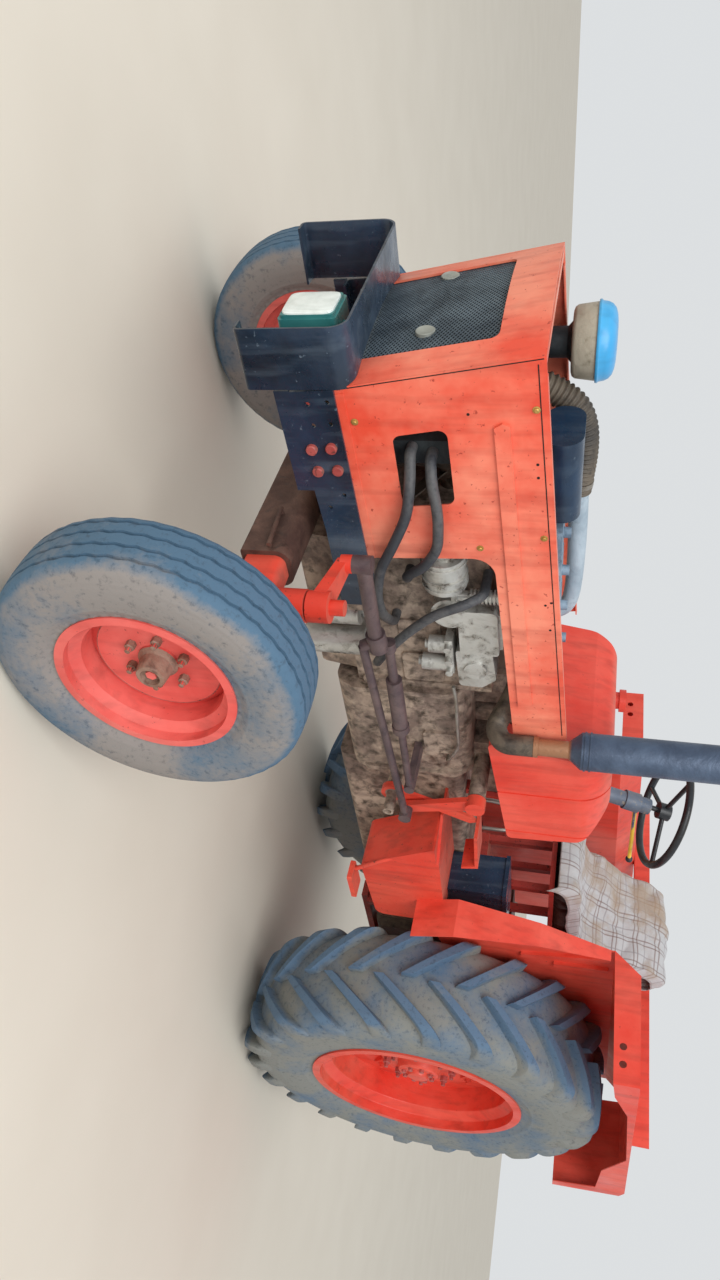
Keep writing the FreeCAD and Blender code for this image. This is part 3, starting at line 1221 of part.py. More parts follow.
def lower_link_bracket():
    """Clevis under the axle housing for one lower link, with its pin; the outer ear stands clear of the swing."""
    x, z = LINK_PIVOT
    y = LINK_Y[0]
    outer_y = y + LINK_EAR_GAP
    inner = block(x - 28, x + 40, y - 32, y - 18, z - 40, CENTRE_BOTTOM)
    pin = bar((x, y - 32, z), (x, outer_y + 14, z), LINK_PIN_R)
    outer = block(x - 28, x + 40, outer_y, outer_y + 14, z - 40, CENTRE_BOTTOM)
    roof = block(x - 15, x + 40, 110, outer_y + 14, 478, CENTRE_BOTTOM)
    return joined(inner, pin, outer, roof)


def lift_tip():
    """Where an arm's end stands: as far from the shaft, and at the same slope, as on the lower link."""
    slope = math.radians(LINK_SLOPE)
    x, z = LIFT_SHAFT
    return x - LIFT_ATTACH * math.cos(slope), z - LIFT_ATTACH * math.sin(slope)


def lift_arms():
    """Rockshaft with an arm to each side."""
    x, z = LIFT_SHAFT
    y0 = LIFT_ROD_Y - 40
    y1 = LIFT_ROD_Y - 20
    tx, tz = lift_tip()
    shaft = bar((x, -y0, z), (x, y0, z), LIFT_SHAFT_R)
    hub = bar((x, y0, z), (x, y1, z), 46)
    arm = side_plate(sharp([(x, z - 40), (x, z + 40), (tx, tz + 24), (tx, tz - 24)]), y0, y1)
    boss = bar((tx, y0, tz), (tx, y1, tz), 28)
    pin = bar((tx, y1, tz), (tx, LIFT_ROD_Y + 18, tz), 12)
    side = joined(hub, arm, boss, pin)
    return joined(shaft, side, mirrored(side))


def lift_rod():
    tx, tz = lift_tip()
    ax, ay, az = link_point(LIFT_ATTACH)
    y = LIFT_ROD_Y
    eye = bar((tx, y - 14, tz), (tx, y + 12, tz), 26)
    hole = bar((tx, y - 30, tz), (tx, y + 30, tz), 12 + FIT)
    low_y = ay - 27
    rod = bar((tx, y, tz), (ax, low_y, az), 14)
    foot = bar((ax, low_y - 8, az), (ax, low_y + 8, az), 24)
    return joined(eye, rod, foot).cut(hole)


def drawbar():
    x1 = DRAWBAR_REACH
    z = DRAWBAR_Z
    bar_plate = flat_plate(sharp([(200, -40), (200, 40), (x1, 40), (x1, -40)]), z, z + 30)
    bar_plate = bar_plate.cut(bar((x1 + 50, 0, z - 10), (x1 + 50, 0, z + 60), DRAWBAR_HOLE_R))
    hangers = [block(x, x + 30, -60, 60, z + 30, CENTRE_BOTTOM) for x in (150, -200)]
    return joined(bar_plate, *hangers)


def pto_shaft():
    x = CENTRE_X[0]
    shaft = bar((x - 95, 0, PTO_Z), (x, 0, PTO_Z), PTO_R)
    flange = bar((x - 18, 0, PTO_Z), (x, 0, PTO_Z), 60)
    return joined(shaft, flange)


def hitch_brackets():
    """Clevises for the lower links under the housing, and the top link's at its back."""
    side = lower_link_bracket()
    return beside(side, mirrored(side), top_link_bracket())


def top_link_bracket():
    x = CENTRE_X[0]
    ears = [block(x - 70, x, side - 8, side + 8, 880, 960) for side in (-32, 32)]
    back = block(x - 15, x, -40, 40, 860, 980)
    hole = bar((x - 45, -60, 920), (x - 45, 60, 920), 13)
    return joined(back, *ears).cut(hole)


# Hoses

def hydraulic_hoses():
    """Three hoses: two out of the bonnet's window, one down past the engine's side."""
    wall = BLOCK_HALF + FIT
    cooler = RADIATOR_HALF + FIT
    upper = bent_tube([(2885, cooler, 962), (2885, 262, 962), (2845, 300, 968), (2760, 318, 982),
                       (2655, 320, 975), (2590, 318, 935), (2540, 296, 885), (2490, 250, 865),
                       (2450, 210, 858), (2450, wall, 858)], 14, 0.42)
    lower = bent_tube([(2900, cooler, 912), (2900, 258, 912), (2850, 304, 916), (2760, 322, 904),
                       (2660, 326, 858), (2570, 318, 812), (2460, 308, 790), (2370, 285, 792),
                       (2300, 235, 800), (2270, 205, 800), (2270, wall, 800)], 14, 0.42)
    side = bent_tube([(2447, wall, 1080), (2447, 215, 1080), (2448, 262, 1080), (2444, 300, 1035),
                      (2412, 316, 945), (2335, 322, 860), (2240, 320, 785), (2170, 290, 752),
                      (2130, 235, 745), (2130, wall, 745)], 14, 0.42)
    return beside(upper, lower, side)


def saved(shapes):
    """Move everything so that the origin is under the middle of the box, then write a file a node."""
    box = Part.makeCompound(list(shapes.values())).BoundBox
    shift = -(box.XMin + box.XMax) / 2
    os.makedirs("parts", exist_ok=True)
    for name, shape in shapes.items():
        moved = shape.copy()
        moved.translate(V(shift, 0, 0))
        moved.exportStep("parts/" + name + ".step")
    print("moved along X by", round(shift, 3))
    print("box", [round(v, 1) for v in (box.XMin, box.XMax, box.YMin, box.YMax, box.ZMin, box.ZMax)])
    return shift


def sided(name, shape):
    return {name + "_left": shape, name + "_right": mirrored(shape)}


NODES = {}
for label, maker in (("rear_tyre", rear_tyre), ("rear_rim", rear_rim), ("front_tyre", front_tyre),
                     ("front_rim", front_rim), ("knuckle", knuckle),
                     ("drop_arm", drop_arm), ("lower_link", lower_link), ("lift_rod", lift_rod)):
    NODES.update(sided(label, maker()))
NODES["drag_link_left"] = drag_link(True)
NODES["drag_link_right"] = mirrored(drag_link(False))
for label, maker in (("axle_beam", axle_beam), ("ram_rod", ram_rod),  ("front_support", front_support),
                     ("nose_cowl", nose_cowl), ("grille", grille), ("front_guard", front_guard),
                     ("headlamp", headlamp), ("radiator", radiator), ("engine_block", engine_block),
                     ("cylinder_head", cylinder_head), ("engine_fan", engine_fan),
                     ("engine_side_units", engine_side_units), ("alternator", alternator),
                     ("exhaust_manifold", exhaust_manifold), ("exhaust_stack", exhaust_stack),
                     ("air_precleaner", air_precleaner), ("air_filter", air_filter),
                     ("intake_hose", intake_hose), ("gearbox", gearbox), ("rear_axle", rear_axle),
                     ("fuel_tank", fuel_tank), ("instrument_panel", instrument_panel),
                     ("steering_column", steering_column), ("steering_wheel", steering_wheel),
                     ("clutch_pedal", clutch_pedal), ("hand_levers", hand_levers),
                     ("cross_board", cross_board), ("seat_frame", seat_frame), ("tool_box", tool_box),
                     ("engine_pipes", engine_pipes), ("seat_cushion", seat_cushion),
                     ("seat_cover", seat_cover), ("lift_arms", lift_arms), ("drawbar", drawbar),
                     ("pto_shaft", pto_shaft), ("hitch_brackets", hitch_brackets),
                     ("hydraulic_hoses", hydraulic_hoses)):
    NODES[label] = maker()
for label, maker in (("axle_arms", axle_arm), ("side_rails", side_rail), ("bonnet_sides", bonnet_side),
                     ("fenders", fender), ("footboards", footboard)):
    NODES[label] = both_sides(maker())

saved(NODES)
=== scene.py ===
# %% [markdown]
# # A farm tractor that has worked for years
# The real machine is sheet steel, iron castings, rubber and a blanket thrown over a torn seat.
# The solids come first, as a fixed frame in metres: +X forward, +Y to the driver's left, +Z up.
# Everything below either gives one of those solids its finish or adds a surface that rides on it.

# %% Load the tractor's solids
import math
import bmesh
import bpy
import numpy as np
from mathutils import Matrix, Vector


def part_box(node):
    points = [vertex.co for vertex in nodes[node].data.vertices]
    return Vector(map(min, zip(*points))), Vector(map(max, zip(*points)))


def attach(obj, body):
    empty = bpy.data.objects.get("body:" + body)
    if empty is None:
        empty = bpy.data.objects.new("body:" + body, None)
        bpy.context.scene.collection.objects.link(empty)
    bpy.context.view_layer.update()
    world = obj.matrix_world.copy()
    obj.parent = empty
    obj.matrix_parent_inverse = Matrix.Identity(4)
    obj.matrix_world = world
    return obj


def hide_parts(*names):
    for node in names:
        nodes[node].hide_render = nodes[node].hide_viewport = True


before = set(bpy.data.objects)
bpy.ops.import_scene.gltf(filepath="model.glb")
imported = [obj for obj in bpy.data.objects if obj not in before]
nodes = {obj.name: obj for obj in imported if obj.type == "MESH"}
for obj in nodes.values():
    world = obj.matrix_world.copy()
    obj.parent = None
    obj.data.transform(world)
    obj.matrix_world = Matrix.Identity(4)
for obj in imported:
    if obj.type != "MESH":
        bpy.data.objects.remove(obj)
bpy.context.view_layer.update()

# %% [markdown]
# ## A colour, a node and a surface
# Paint charts and screens give colours as sRGB hex values, while shaders work in linear light, so one
# function turns the first into the second. Shader graphs are built with one small function that adds a
# node, sets it up and links it, because that reads like the graph itself. Weathering is layer over layer,
# and each layer shows where some pattern is high, so one more function lays a colour over another.

# %% Colour and node helpers
def linear(hex_colour):
    """Below 0.04045 an sRGB value is divided by 12.92; above, it is ((value + 0.055) / 1.055) to the power 2.4."""
    value = np.array([int(hex_colour[i:i + 2], 16) for i in (1, 3, 5)]) / 255
    return (*np.where(value <= 0.04045, value / 12.92, ((value + 0.055) / 1.055) ** 2.4), 1.0)


def connect(node, sockets):
    """`sockets` maps an input's name or number to an output to link, or to a hex colour or another value to set."""
    for key, value in sockets.items():
        if isinstance(value, bpy.types.NodeSocket):
            node.id_data.links.new(value, node.inputs[key])
        else:
            node.inputs[key].default_value = linear(value) if isinstance(value, str) else value


def add(tree, kind, sockets=None, **settings):
    """Adds the node ShaderNode + `kind`, with `settings` as attributes and `sockets` as inputs; returns its outputs."""
    node = tree.nodes.new("ShaderNode" + kind)
    for name, value in settings.items():
        setattr(node, name, value)
    connect(node, sockets or {})
    return node.outputs


def blank_material(name):
    """A new material, its tree, its shader, and Object coordinates, which keep patterns at their real size."""
    material = bpy.data.materials.new(name)
    material.use_nodes = True
    tree = material.node_tree
    return material, tree, tree.nodes["Principled BSDF"], add(tree, "TexCoord")["Object"]


def layer(tree, under, over, pattern, start, end, least=0.0, most=1.0):
    """Share of `over` = least + (most - least) x (pattern - start) / (end - start), held between its ends."""
    share = add(tree, "MapRange", {0: pattern, 1: start, 2: end, 3: least, 4: most})
    return add(tree, "Mix", {0: share[0], 6: under, 7: over}, data_type="RGBA")[2]


print("signal orange in linear light:", [round(float(c), 3) for c in linear("#E8452C")])

# %% [markdown]
# A surface is a grid of points joined by quads. A batch of equal grids, such as the bars of a tread, is one
# array with one more axis, so no loop ever visits a single point. Closed shells are then turned so that
# their faces look outwards.

# %% Surface helper
def surface(name, grids, material, closed_rows=False, caps=False, crease=35.0, sheet=False):
    """Joins points of shape (copies, rows, columns, 3); caps close the first and last row with one face each.

    The last column joins the first, and faces are turned outwards, unless the grid is an open sheet.
    """
    copies, rows, columns, _ = grids.shape
    number = np.arange(copies * rows * columns).reshape(copies, rows, columns)
    across = number if sheet else np.concatenate([number, number[:, :, :1]], axis=2)
    both = np.concatenate([across, across[:, :1]], axis=1) if closed_rows else across
    corners = (both[:, :-1, :-1], both[:, :-1, 1:], both[:, 1:, 1:], both[:, 1:, :-1])
    faces = np.stack(corners, axis=-1).reshape(-1, 4).tolist()
    if caps:
        faces += number[:, 0, ::-1].tolist() + number[:, -1].tolist()
    mesh = bpy.data.meshes.new(name)
    mesh.from_pydata(grids.reshape(-1, 3).tolist(), [], faces)
    if not sheet:
        shell = bmesh.new()
        shell.from_mesh(mesh)
        bmesh.ops.remove_doubles(shell, verts=shell.verts, dist=1e-6)
        bmesh.ops.recalc_face_normals(shell, faces=shell.faces)
        shell.to_mesh(mesh)
        shell.free()
    mesh.polygons.foreach_set("use_smooth", np.ones(len(mesh.polygons), dtype=bool))
    mesh.set_sharp_from_angle(angle=math.radians(crease))
    mesh.materials.append(material)
    piece = bpy.data.objects.new(name, mesh)
    bpy.context.scene.collection.objects.link(piece)
    print(name, "faces", len(mesh.polygons))
    return piece


# %% [markdown]
# ## Sprayed enamel over old paint
# The orange is a fresh coat sprayed over dents, filler and rust, so it is glossy but uneven: wide patches
# bleached towards salmon, streaks where it ran, chips down to dark red, and dust on faces that look up and
# near the ground. One function makes the family, since guard, rails and levers are the same craft in
# other colours.

# %% Enamel
PATCH = 0.34        # Metres, bleached areas on the bonnet
RUN = 0.035         # Metres, width of the streaks left by the spray
RUN_STRETCH = 0.12  # A streak's width as a share of its height
CHIP = 0.016        # Metres, chips and scratches
ORANGE_PEEL = 0.004  # Metres, the fine dimples of sprayed paint
DUST_LINE = 0.45    # Metres above the ground where road dust fades out


def enamel(name, coat, bleached, chipped, dust="#A8977C", gloss=0.38, chips=0.66, dusty=0.35):
    """Coat and bleached coat mixed by broad noise, darkened by upright streaks, chipped where fine noise is high.

    Share of dust = noise x the greater of two ramps, one rising as a face looks up, one as it nears the ground.
    """
    material, tree, shader, place = blank_material(name)
    patches = add(tree, "TexNoise", {"Vector": place, "Scale": 1 / PATCH, "Detail": 5, "Roughness": 0.6})
    colour = layer(tree, coat, bleached, patches[0], 0.36, 0.62)
    upright = add(tree, "Mapping", {"Vector": place, "Scale": (1 / RUN, 1 / RUN, RUN_STRETCH / RUN)})
    streaks = add(tree, "TexNoise", {"Vector": upright[0], "Scale": 1.0, "Detail": 3})
    colour = layer(tree, colour, chipped, streaks[0], 0.48, 0.74, most=0.38)
    fine = add(tree, "TexNoise", {"Vector": place, "Scale": 1 / CHIP, "Detail": 7, "Roughness": 0.68})
    colour = layer(tree, colour, chipped, fine[0], chips, chips + 0.03, most=0.85)
    facing = add(tree, "SeparateXYZ", {0: add(tree, "NewGeometry")["Normal"]})
    height = add(tree, "SeparateXYZ", {0: place})
    upward = add(tree, "MapRange", {0: facing[2], 1: 0.55, 2: 1.0, 3: 0.0, 4: dusty})
    low = add(tree, "MapRange", {0: height[2], 1: 0.1, 2: DUST_LINE, 3: dusty, 4: 0.0})
    settled = add(tree, "Math", {0: upward[0], 1: low[0]}, operation="MAXIMUM")
    blown = add(tree, "TexNoise", {"Vector": place, "Scale": 9.0, "Detail": 6})
    dust_share = add(tree, "Math", {0: settled[0], 1: blown[0]}, operation="MULTIPLY")
    dusted = add(tree, "Mix", {0: dust_share[0], 6: colour, 7: dust}, data_type="RGBA")
    rough = add(tree, "MapRange", {0: blown[0], 1: 0.3, 2: 0.7, 3: gloss - 0.08, 4: gloss + 0.2})
    peel = add(tree, "TexNoise", {"Vector": place, "Scale": 1 / ORANGE_PEEL, "Detail": 2})
    skin = add(tree, "Bump", {"Height": peel[0], "Strength": 0.12, "Distance": 0.0006})
    dents = add(tree, "Bump", {"Height": patches[0], "Strength": 0.5, "Distance": 0.02, "Normal": skin[0]})
    connect(shader, {"Base Color": dusted[2], "Roughness": rough[0], "Normal": dents[0], "IOR": 1.5})
    return material


# Bright resprayed enamel on rims and fenders
orange = enamel("resprayed_orange_enamel", "#DF3A28", "#E85A48", "#8E2A1E", gloss=0.40)
# The same coat on the bonnet, bleached towards salmon by the sun
sunned = enamel("sun_bleached_orange_enamel", "#E14D35", "#F08D72", "#9C2C1E", gloss=0.40, chips=0.63)
# Front rims: a redder coat gone chalky, so rough and slightly pink
chalked = enamel("chalked_red_enamel", "#D63C36", "#EA6A62", "#8A2A24", dust="#C09A8C", gloss=0.50, chips=0.65)
# The same paint where boots and hands wear it
trodden = enamel("trodden_orange_enamel", "#D93A27", "#DE5540", "#6A2C22", dust="#9A7A68", gloss=0.5, chips=0.63,
                 dusty=0.55)
# Black chassis enamel with a blue cast, scuffed grey
chassis_black = enamel("blue_black_enamel", "#151E2A", "#2A3C52", "#62707E", dust="#5C6C7C", gloss=0.24,
                       chips=0.64, dusty=0.30)
# Deep red inside the fenders and on links: painted shade, the enamel darkened where these parts lie in shade
shaded_red = enamel("painted_shade_red_enamel", "#A92A20", "#B8443A", "#4A211C", gloss=0.55, chips=0.60, dusty=0.6)
# Dusty blue-grey on the column
column_grey = enamel("blue_grey_enamel", "#3E4A5C", "#67768A", "#8C8478", gloss=0.45, chips=0.58, dusty=0.4)
# Teal lamp enamel
lamp_teal = enamel("teal_enamel", "#2E6E70", "#3F8A88", "#1C3A3C", gloss=0.3, chips=0.68)
# Blue-black air cleaner can
can_blue = enamel("blue_black_can_enamel", "#0E1A2A", "#1A3550", "#4A5A68", dust="#4E6274", gloss=0.26, chips=0.64,
                  dusty=0.3)
# Yellow enamel of the hand throttle
lever_yellow = enamel("yellow_enamel", "#E8B722", "#EFC94A", "#7A5A1C", gloss=0.35)
# Red paint over bolt heads; the same dark red also rings the front discs as a painted shadow line in their weld groove
red_bolts_and_groove_shadow = enamel("red_bolt_paint_and_groove_shadow", "#9C3A35", "#B8605A", "#5A2C2A", gloss=0.5, chips=0.58)
# Steering wheel: black moulded plastic, which bleaches and wears as paint does
moulded_black = enamel("moulded_black_plastic", "#15171B", "#262A30", "#3A3E44", gloss=0.35, chips=0.72, dusty=0.3)
# Sky-blue plastic cap of the pre-cleaner
cap_blue = enamel("bleached_blue_plastic", "#1A8CCB", "#48A9DC", "#1F5F90", dust="#A9C0CE", gloss=0.28, chips=0.70,
                  dusty=0.18)

# %% [markdown]
# ## Cast iron under oil and dust
# The castings are never cleaned: beige dust is caked on, oil soaks through it in dark brown runs, and the
# sand-cast skin is coarse. Three noises at 120, 35 and 3 millimetres give caking, oil and grain.

# %% Cast iron and bare metal
CAKE = 0.12         # Metres, clumps of caked dust
OIL = 0.035         # Metres, oil stains
GRAIN = 0.003       # Metres, the sand-cast skin
FADE = 0.004        # Metres, half the height over which one colour gives way to the next
OIL_SHINE = 0.252   # How much smoother an oiled place is


def grimy(name, dust, iron, oil, oily=0.52, metal=0.1, rough=0.72, under=None):
    """Dust over iron by caking noise, then oil where a warped middle noise passes `oily`; grain and caking raise it.

    `under` is a height in metres and the colour below it, for a solid that is two things one above the other.
    """
    material, tree, shader, place = blank_material(name)
    cake = add(tree, "TexNoise", {"Vector": place, "Scale": 1 / CAKE, "Detail": 8, "Roughness": 0.65,
                                  "Distortion": 0.4})
    colour = layer(tree, iron, dust, cake[0], 0.40, 0.62)
    if under:
        height = add(tree, "SeparateXYZ", {0: place})
        colour = layer(tree, under[1], colour, height[2], under[0] - FADE, under[0] + FADE)
    stain = add(tree, "TexNoise", {"Vector": place, "Scale": 1 / OIL, "Detail": 8, "Roughness": 0.62,
                                   "Distortion": 0.3})
    colour = layer(tree, colour, oil, stain[0], oily, oily + 0.22, most=0.9)
    wet = add(tree, "MapRange", {0: stain[0], 1: oily, 2: oily + 0.22, 3: rough, 4: rough - OIL_SHINE})
    grain = add(tree, "TexNoise", {"Vector": place, "Scale": 1 / GRAIN, "Detail": 4})
    skin = add(tree, "Bump", {"Height": grain[0], "Strength": 0.5, "Distance": 0.0012})
    lumps = add(tree, "Bump", {"Height": cake[0], "Strength": 0.6, "Distance": 0.012, "Normal": skin[0]})
    connect(shader, {"Base Color": colour, "Roughness": wet[0], "Normal": lumps[0], "Metallic": metal})
    return material


# Sand-cast iron caked with road dust
iron = grimy("dusty_cast_iron", "#B9A593", "#7C6A60", "#33291F", oily=0.45)
# Cylinder head: the castings below, blue-grey painted covers above
HEAD_COVERS = 1.206
head_covers = grimy("painted_head_covers", "#93A6B6", "#6E8396", "#39424C", oily=0.54, rough=0.5,
                    under=(HEAD_COVERS, "#8A7A6E"))
# Pale painted intake pipe
pipe_pale = grimy("pale_painted_pipe", "#B4C2CC", "#98A8B4", "#5A646C", oily=0.58, rough=0.5)
# Hubs and nuts: thin rust under brown dust
hub_rust = grimy("dusty_rust", "#A88E7E", "#85604E", "#4A3128", oily=0.50, metal=0.15, rough=0.7)
# Darker casting, oil soaked
oily_iron = grimy("oily_cast_iron", "#6E6254", "#4A4038", "#1E1A17", oily=0.46, rough=0.6)
# Brown, rusted tube
rust_brown = grimy("rusted_steel_tube", "#6B4F44", "#4A332C", "#2A1E1B", oily=0.55, metal=0.2, rough=0.65)
# Die-cast aluminium, still bright between stains
aluminium = grimy("die_cast_aluminium", "#B9B8B2", "#CFCFCB", "#5A5046", oily=0.50, metal=0.7, rough=0.42)
# Drag links: steel gone purple-brown
link_steel = grimy("browned_steel", "#6F5D5C", "#54464A", "#2B2528", oily=0.56, metal=0.35, rough=0.5)
# Worn bright steel
bright_steel = grimy("worn_bright_steel", "#8D8478", "#A3A09A", "#4A443E", oily=0.58, metal=0.7, rough=0.45)
# Heat-faded muffler coating, blue-grey; the neck below it is bare pipe that has rusted pale
MUFFLER_FOOT = 1.338
muffler_coat = grimy("heat_faded_coating", "#4F5F76", "#3C4A60", "#2C3542", oily=0.64, metal=0.25, rough=0.42,
                     under=(MUFFLER_FOOT, "#9A6E50"))
# Radiator core, dark with fine dust
core_grey = grimy("dusty_dark_steel", "#3A4144", "#22282C", "#14181B", oily=0.60, metal=0.4, rough=0.6)
# Expanded metal of the grille, black with a blue-grey bloom
mesh_black = grimy("blackened_mesh", "#65737D", "#46525C", "#22282E", oily=0.62, metal=0.3, rough=0.5)
# A dark sheet behind the grille, painted shade for the shaded inside of the nose
grille_shade_black = grimy("painted_shade_behind_grille", "#1B2128", "#14191F", "#0B0E11", oily=0.62, rough=0.85)
# Zinc plates gone dull
weathered_zinc = grimy("weathered_zinc", "#B4B6AE", "#8E928C", "#6A6C68", oily=0.66, metal=0.5, rough=0.5)
# Brass-coated screws
dull_brass = grimy("dull_brass", "#C9A863", "#A88644", "#6E552C", oily=0.62, metal=0.7, rough=0.4)
# Painted shade, nearly black: the inside of empty holes and the bonnet's folds
painted_shade_black = grimy("painted_shade_holes_and_folds", "#1C1614", "#120E0D", "#0A0807", oily=0.66, metal=0.0, rough=0.9)
# The pre-cleaner's bowl: clear plastic clouded by the dust that it caught
bowl_pale = grimy("dusty_clear_plastic", "#B5AE9C", "#A59E8C", "#7A7260", oily=0.56, metal=0.0, rough=0.4)

# %% [markdown]
# ## Rubber, wool and glass
# Tyre rubber is black only when new. Here the tread has weathered to a blue-grey bloom, and dust the colour
# of the yard lies in the grooves and over the sidewalls. An attribute on the tyre, 1 on the raised tread and
# 0 on the sidewall, tells the two apart, so the pattern turns with the wheel.

# %% Rubber, wool and glass
STRIPE_REPEAT = 0.105               # Metres from one set of stripes to the next
STRIPE = 0.006                      # Metres, the scale of one stripe's width
FLUTE = 0.006                       # Metres from one flute of the lamp's glass to the next


def rubber(name, bloom, dust, black, tread=True, rough=0.75):
    """Dust mixed over bloom by noise, more of it where the attribute `tread` is low, with black where noise dips."""
    material, tree, shader, place = blank_material(name)
    broad = add(tree, "TexNoise", {"Vector": place, "Scale": 4.0, "Detail": 6, "Roughness": 0.55})
    fine = add(tree, "TexNoise", {"Vector": place, "Scale": 55.0, "Detail": 8, "Roughness": 0.72})
    mottled = add(tree, "Math", {0: fine[0], 1: 0.35, 2: broad[0]}, operation="MULTIPLY_ADD")
    if tread:
        raised = add(tree, "Attribute", attribute_name="tread")
        lowered = add(tree, "MapRange", {0: raised["Fac"], 1: 0.0, 2: 1.0, 3: 0.13, 4: -0.16})
        mottled = add(tree, "Math", {0: mottled[0], 1: lowered[0]}, operation="ADD")
    colour = layer(tree, bloom, dust, mottled[0], 0.58, 0.86, most=0.9)
    colour = layer(tree, colour, black, fine[0], 0.30, 0.46, 0.55, 0.0)
    skin = add(tree, "Bump", {"Height": fine[0], "Strength": 0.55, "Distance": 0.003})
    connect(shader, {"Base Color": colour, "Normal": skin[0], "Roughness": rough})
    return material


def plaid(name, ground, stripe, second, soil):
    """Stripes where the distance along or across the cloth, divided by the repeat, is near a whole number.

    Soil is where noise is high. The same brown is also laid far more on the half of the cloth where the width is
    negative.
    """
    material, tree, shader, place = blank_material(name)
    cloth = add(tree, "SeparateXYZ", {0: add(tree, "UVMap", uv_map="weave")["UV"]})
    colour = ground
    for direction in (0, 1):
        for offset, tint in ((0.0, stripe), (0.018, stripe), (0.054, second)):
            moved = add(tree, "Math", {0: cloth[direction], 1: offset}, operation="ADD")
            wave = add(tree, "Math", {0: moved[0], 1: STRIPE_REPEAT / 2}, operation="PINGPONG")
            colour = layer(tree, colour, tint, wave[0], STRIPE * 0.35, STRIPE * 0.6, 0.62, 0.0)
    soiling = add(tree, "TexNoise", {"Vector": place, "Scale": 9.0, "Detail": 6, "Roughness": 0.6})
    # More of the brown on the half of the cloth where the width is negative
    far_half = add(tree, "MapRange", {0: cloth[1], 1: -0.09, 2: 0.03, 3: 0.14, 4: 0.0})
    soil_and_far_half = add(tree, "Math", {0: soiling[0], 1: far_half[0]}, operation="ADD")
    colour = layer(tree, colour, soil, soil_and_far_half[0], 0.50, 0.72, most=0.8)
    yarn = add(tree, "TexNoise", {"Vector": place, "Scale": 420.0, "Detail": 2})
    nap = add(tree, "Bump", {"Height": yarn[0], "Strength": 0.5, "Distance": 0.0012})
    crumple = add(tree, "Bump", {"Height": soiling[0], "Strength": 0.7, "Distance": 0.02, "Normal": nap[0]})
    connect(shader, {"Base Color": colour, "Normal": crumple[0], "Roughness": 0.9, "Sheen Weight": 0.25})
    return material


def pressed_glass(name, body, haze):
    """Milky glass whose upright flutes are a sine wave across the lamp."""
    material, tree, shader, place = blank_material(name)
    across = add(tree, "SeparateXYZ", {0: place})
    phase = add(tree, "Math", {0: across[1], 1: 2 * math.pi / FLUTE}, operation="MULTIPLY")
    wave = add(tree, "Math", {0: phase[0]}, operation="SINE")
    film = add(tree, "TexNoise", {"Vector": place, "Scale": 30.0, "Detail": 5})
    hazed = layer(tree, body, haze, film[0], 0.45, 0.75, most=0.5)
    flutes = add(tree, "Bump", {"Height": wave[0], "Strength": 0.35, "Distance": 0.0012})
    connect(shader, {"Base Color": hazed, "Normal": flutes[0], "Roughness": 0.12, "Coat Weight": 0.6})
    return material


# Weathered tyre compound
rear_rubber = rubber("weathered_rear_tyre", "#56708A", "#86867F", "#232B35")
front_rubber = rubber("weathered_front_tyre", "#4A6880", "#8E8680", "#262F3A")
# Hydraulic hose, matte with a grey bloom
hose_rubber = rubber("hydraulic_hose_rubber", "#34373D", "#6C6A68", "#1B1C20", tread=False, rough=0.55)
# Corrugated intake hose
intake_rubber = rubber("corrugated_intake_rubber", "#3A3632", "#6B6052", "#171412", tread=False, rough=0.6)
# Torn black vinyl
vinyl = rubber("torn_black_vinyl", "#2A2725", "#5C5044", "#121010", tread=False, rough=0.5)
# Wool blanket, cream and grey with brown plaid lines, soiled
plaid_wool = plaid("woven_plaid_wool", "#B9B8B9", "#6E5148", "#8E8688", "#A08A74")
# Lamp glass under a film of dust
lamp_glass = pressed_glass("fluted_lamp_glass", "#E9F1EE", "#B9C4BE")

# %% [markdown]
# ## Finishes on the solids
# A solid whose form is already right keeps it and only gets its finish. The table says which is which.
# Faces of one solid that differ, such as the muffler's coating and its rusty neck, are told apart by height.

# %% Dress the solids
DRESS = {
    sunned: ["bonnet_sides", "nose_cowl"],
    orange: ["fenders", "cross_board", "rear_rim_*", "fuel_tank"],
    chalked: ["front_rim_*"],
    trodden: ["footboards", "clutch_pedal", "axle_arms", "knuckle_*", "drop_arm_*"],
    chassis_black: ["front_guard", "side_rails", "tool_box"],
    # Painted shade: these parts get the darker red because they lie in shade
    shaded_red: ["seat_frame", "instrument_panel", "lower_link_*", "lift_rod_*", "lift_arms", "drawbar",
                 "hitch_brackets"],
    column_grey: ["steering_column"],
    lamp_teal: ["headlamp"],
    iron: ["engine_block", "gearbox", "front_support"],
    head_covers: ["cylinder_head"],
    oily_iron: ["rear_axle", "exhaust_manifold", "engine_fan"],
    rust_brown: ["axle_beam"],
    aluminium: ["engine_side_units", "alternator"],
    link_steel: ["drag_link_*", "ram_rod"],
    bright_steel: ["pto_shaft", "hand_levers", "engine_pipes"],
    muffler_coat: ["exhaust_stack"],
    core_grey: ["radiator", "grille"],
    rear_rubber: ["rear_tyre_*"],
    front_rubber: ["front_tyre_*"],
    hose_rubber: ["hydraulic_hoses"],
    intake_rubber: ["intake_hose"],
    moulded_black: ["steering_wheel"],
    cap_blue: ["air_precleaner"],
    can_blue: ["air_filter"],
    vinyl: ["seat_cushion", "seat_cover"],
}
dressed = 0
for material, names in DRESS.items():
    for name in names:
        for side in (("left", "right") if name.endswith("*") else ("",)):
            for slot in nodes[name.replace("*", side)].material_slots:
                slot.material = material
            dressed += 1
print("dressed", dressed, "of", len(nodes), "solids")

# %% [markdown]
# ## A smoothed line and a turned profile
# Most forms here are a profile turned about an axle or carried along a path. A path comes as a few points;
# spacing it evenly and averaging each point with its neighbours rounds its corners as a mould or a bend
# would. A turned piece can be placed many times at once, because a bolt is the same profile at each place.

# %% Line and lathe helpers
def mm(*rows):
    """Rows of millimetres, as a workshop drawing gives them, in metres."""
    return np.array(rows) / 1000


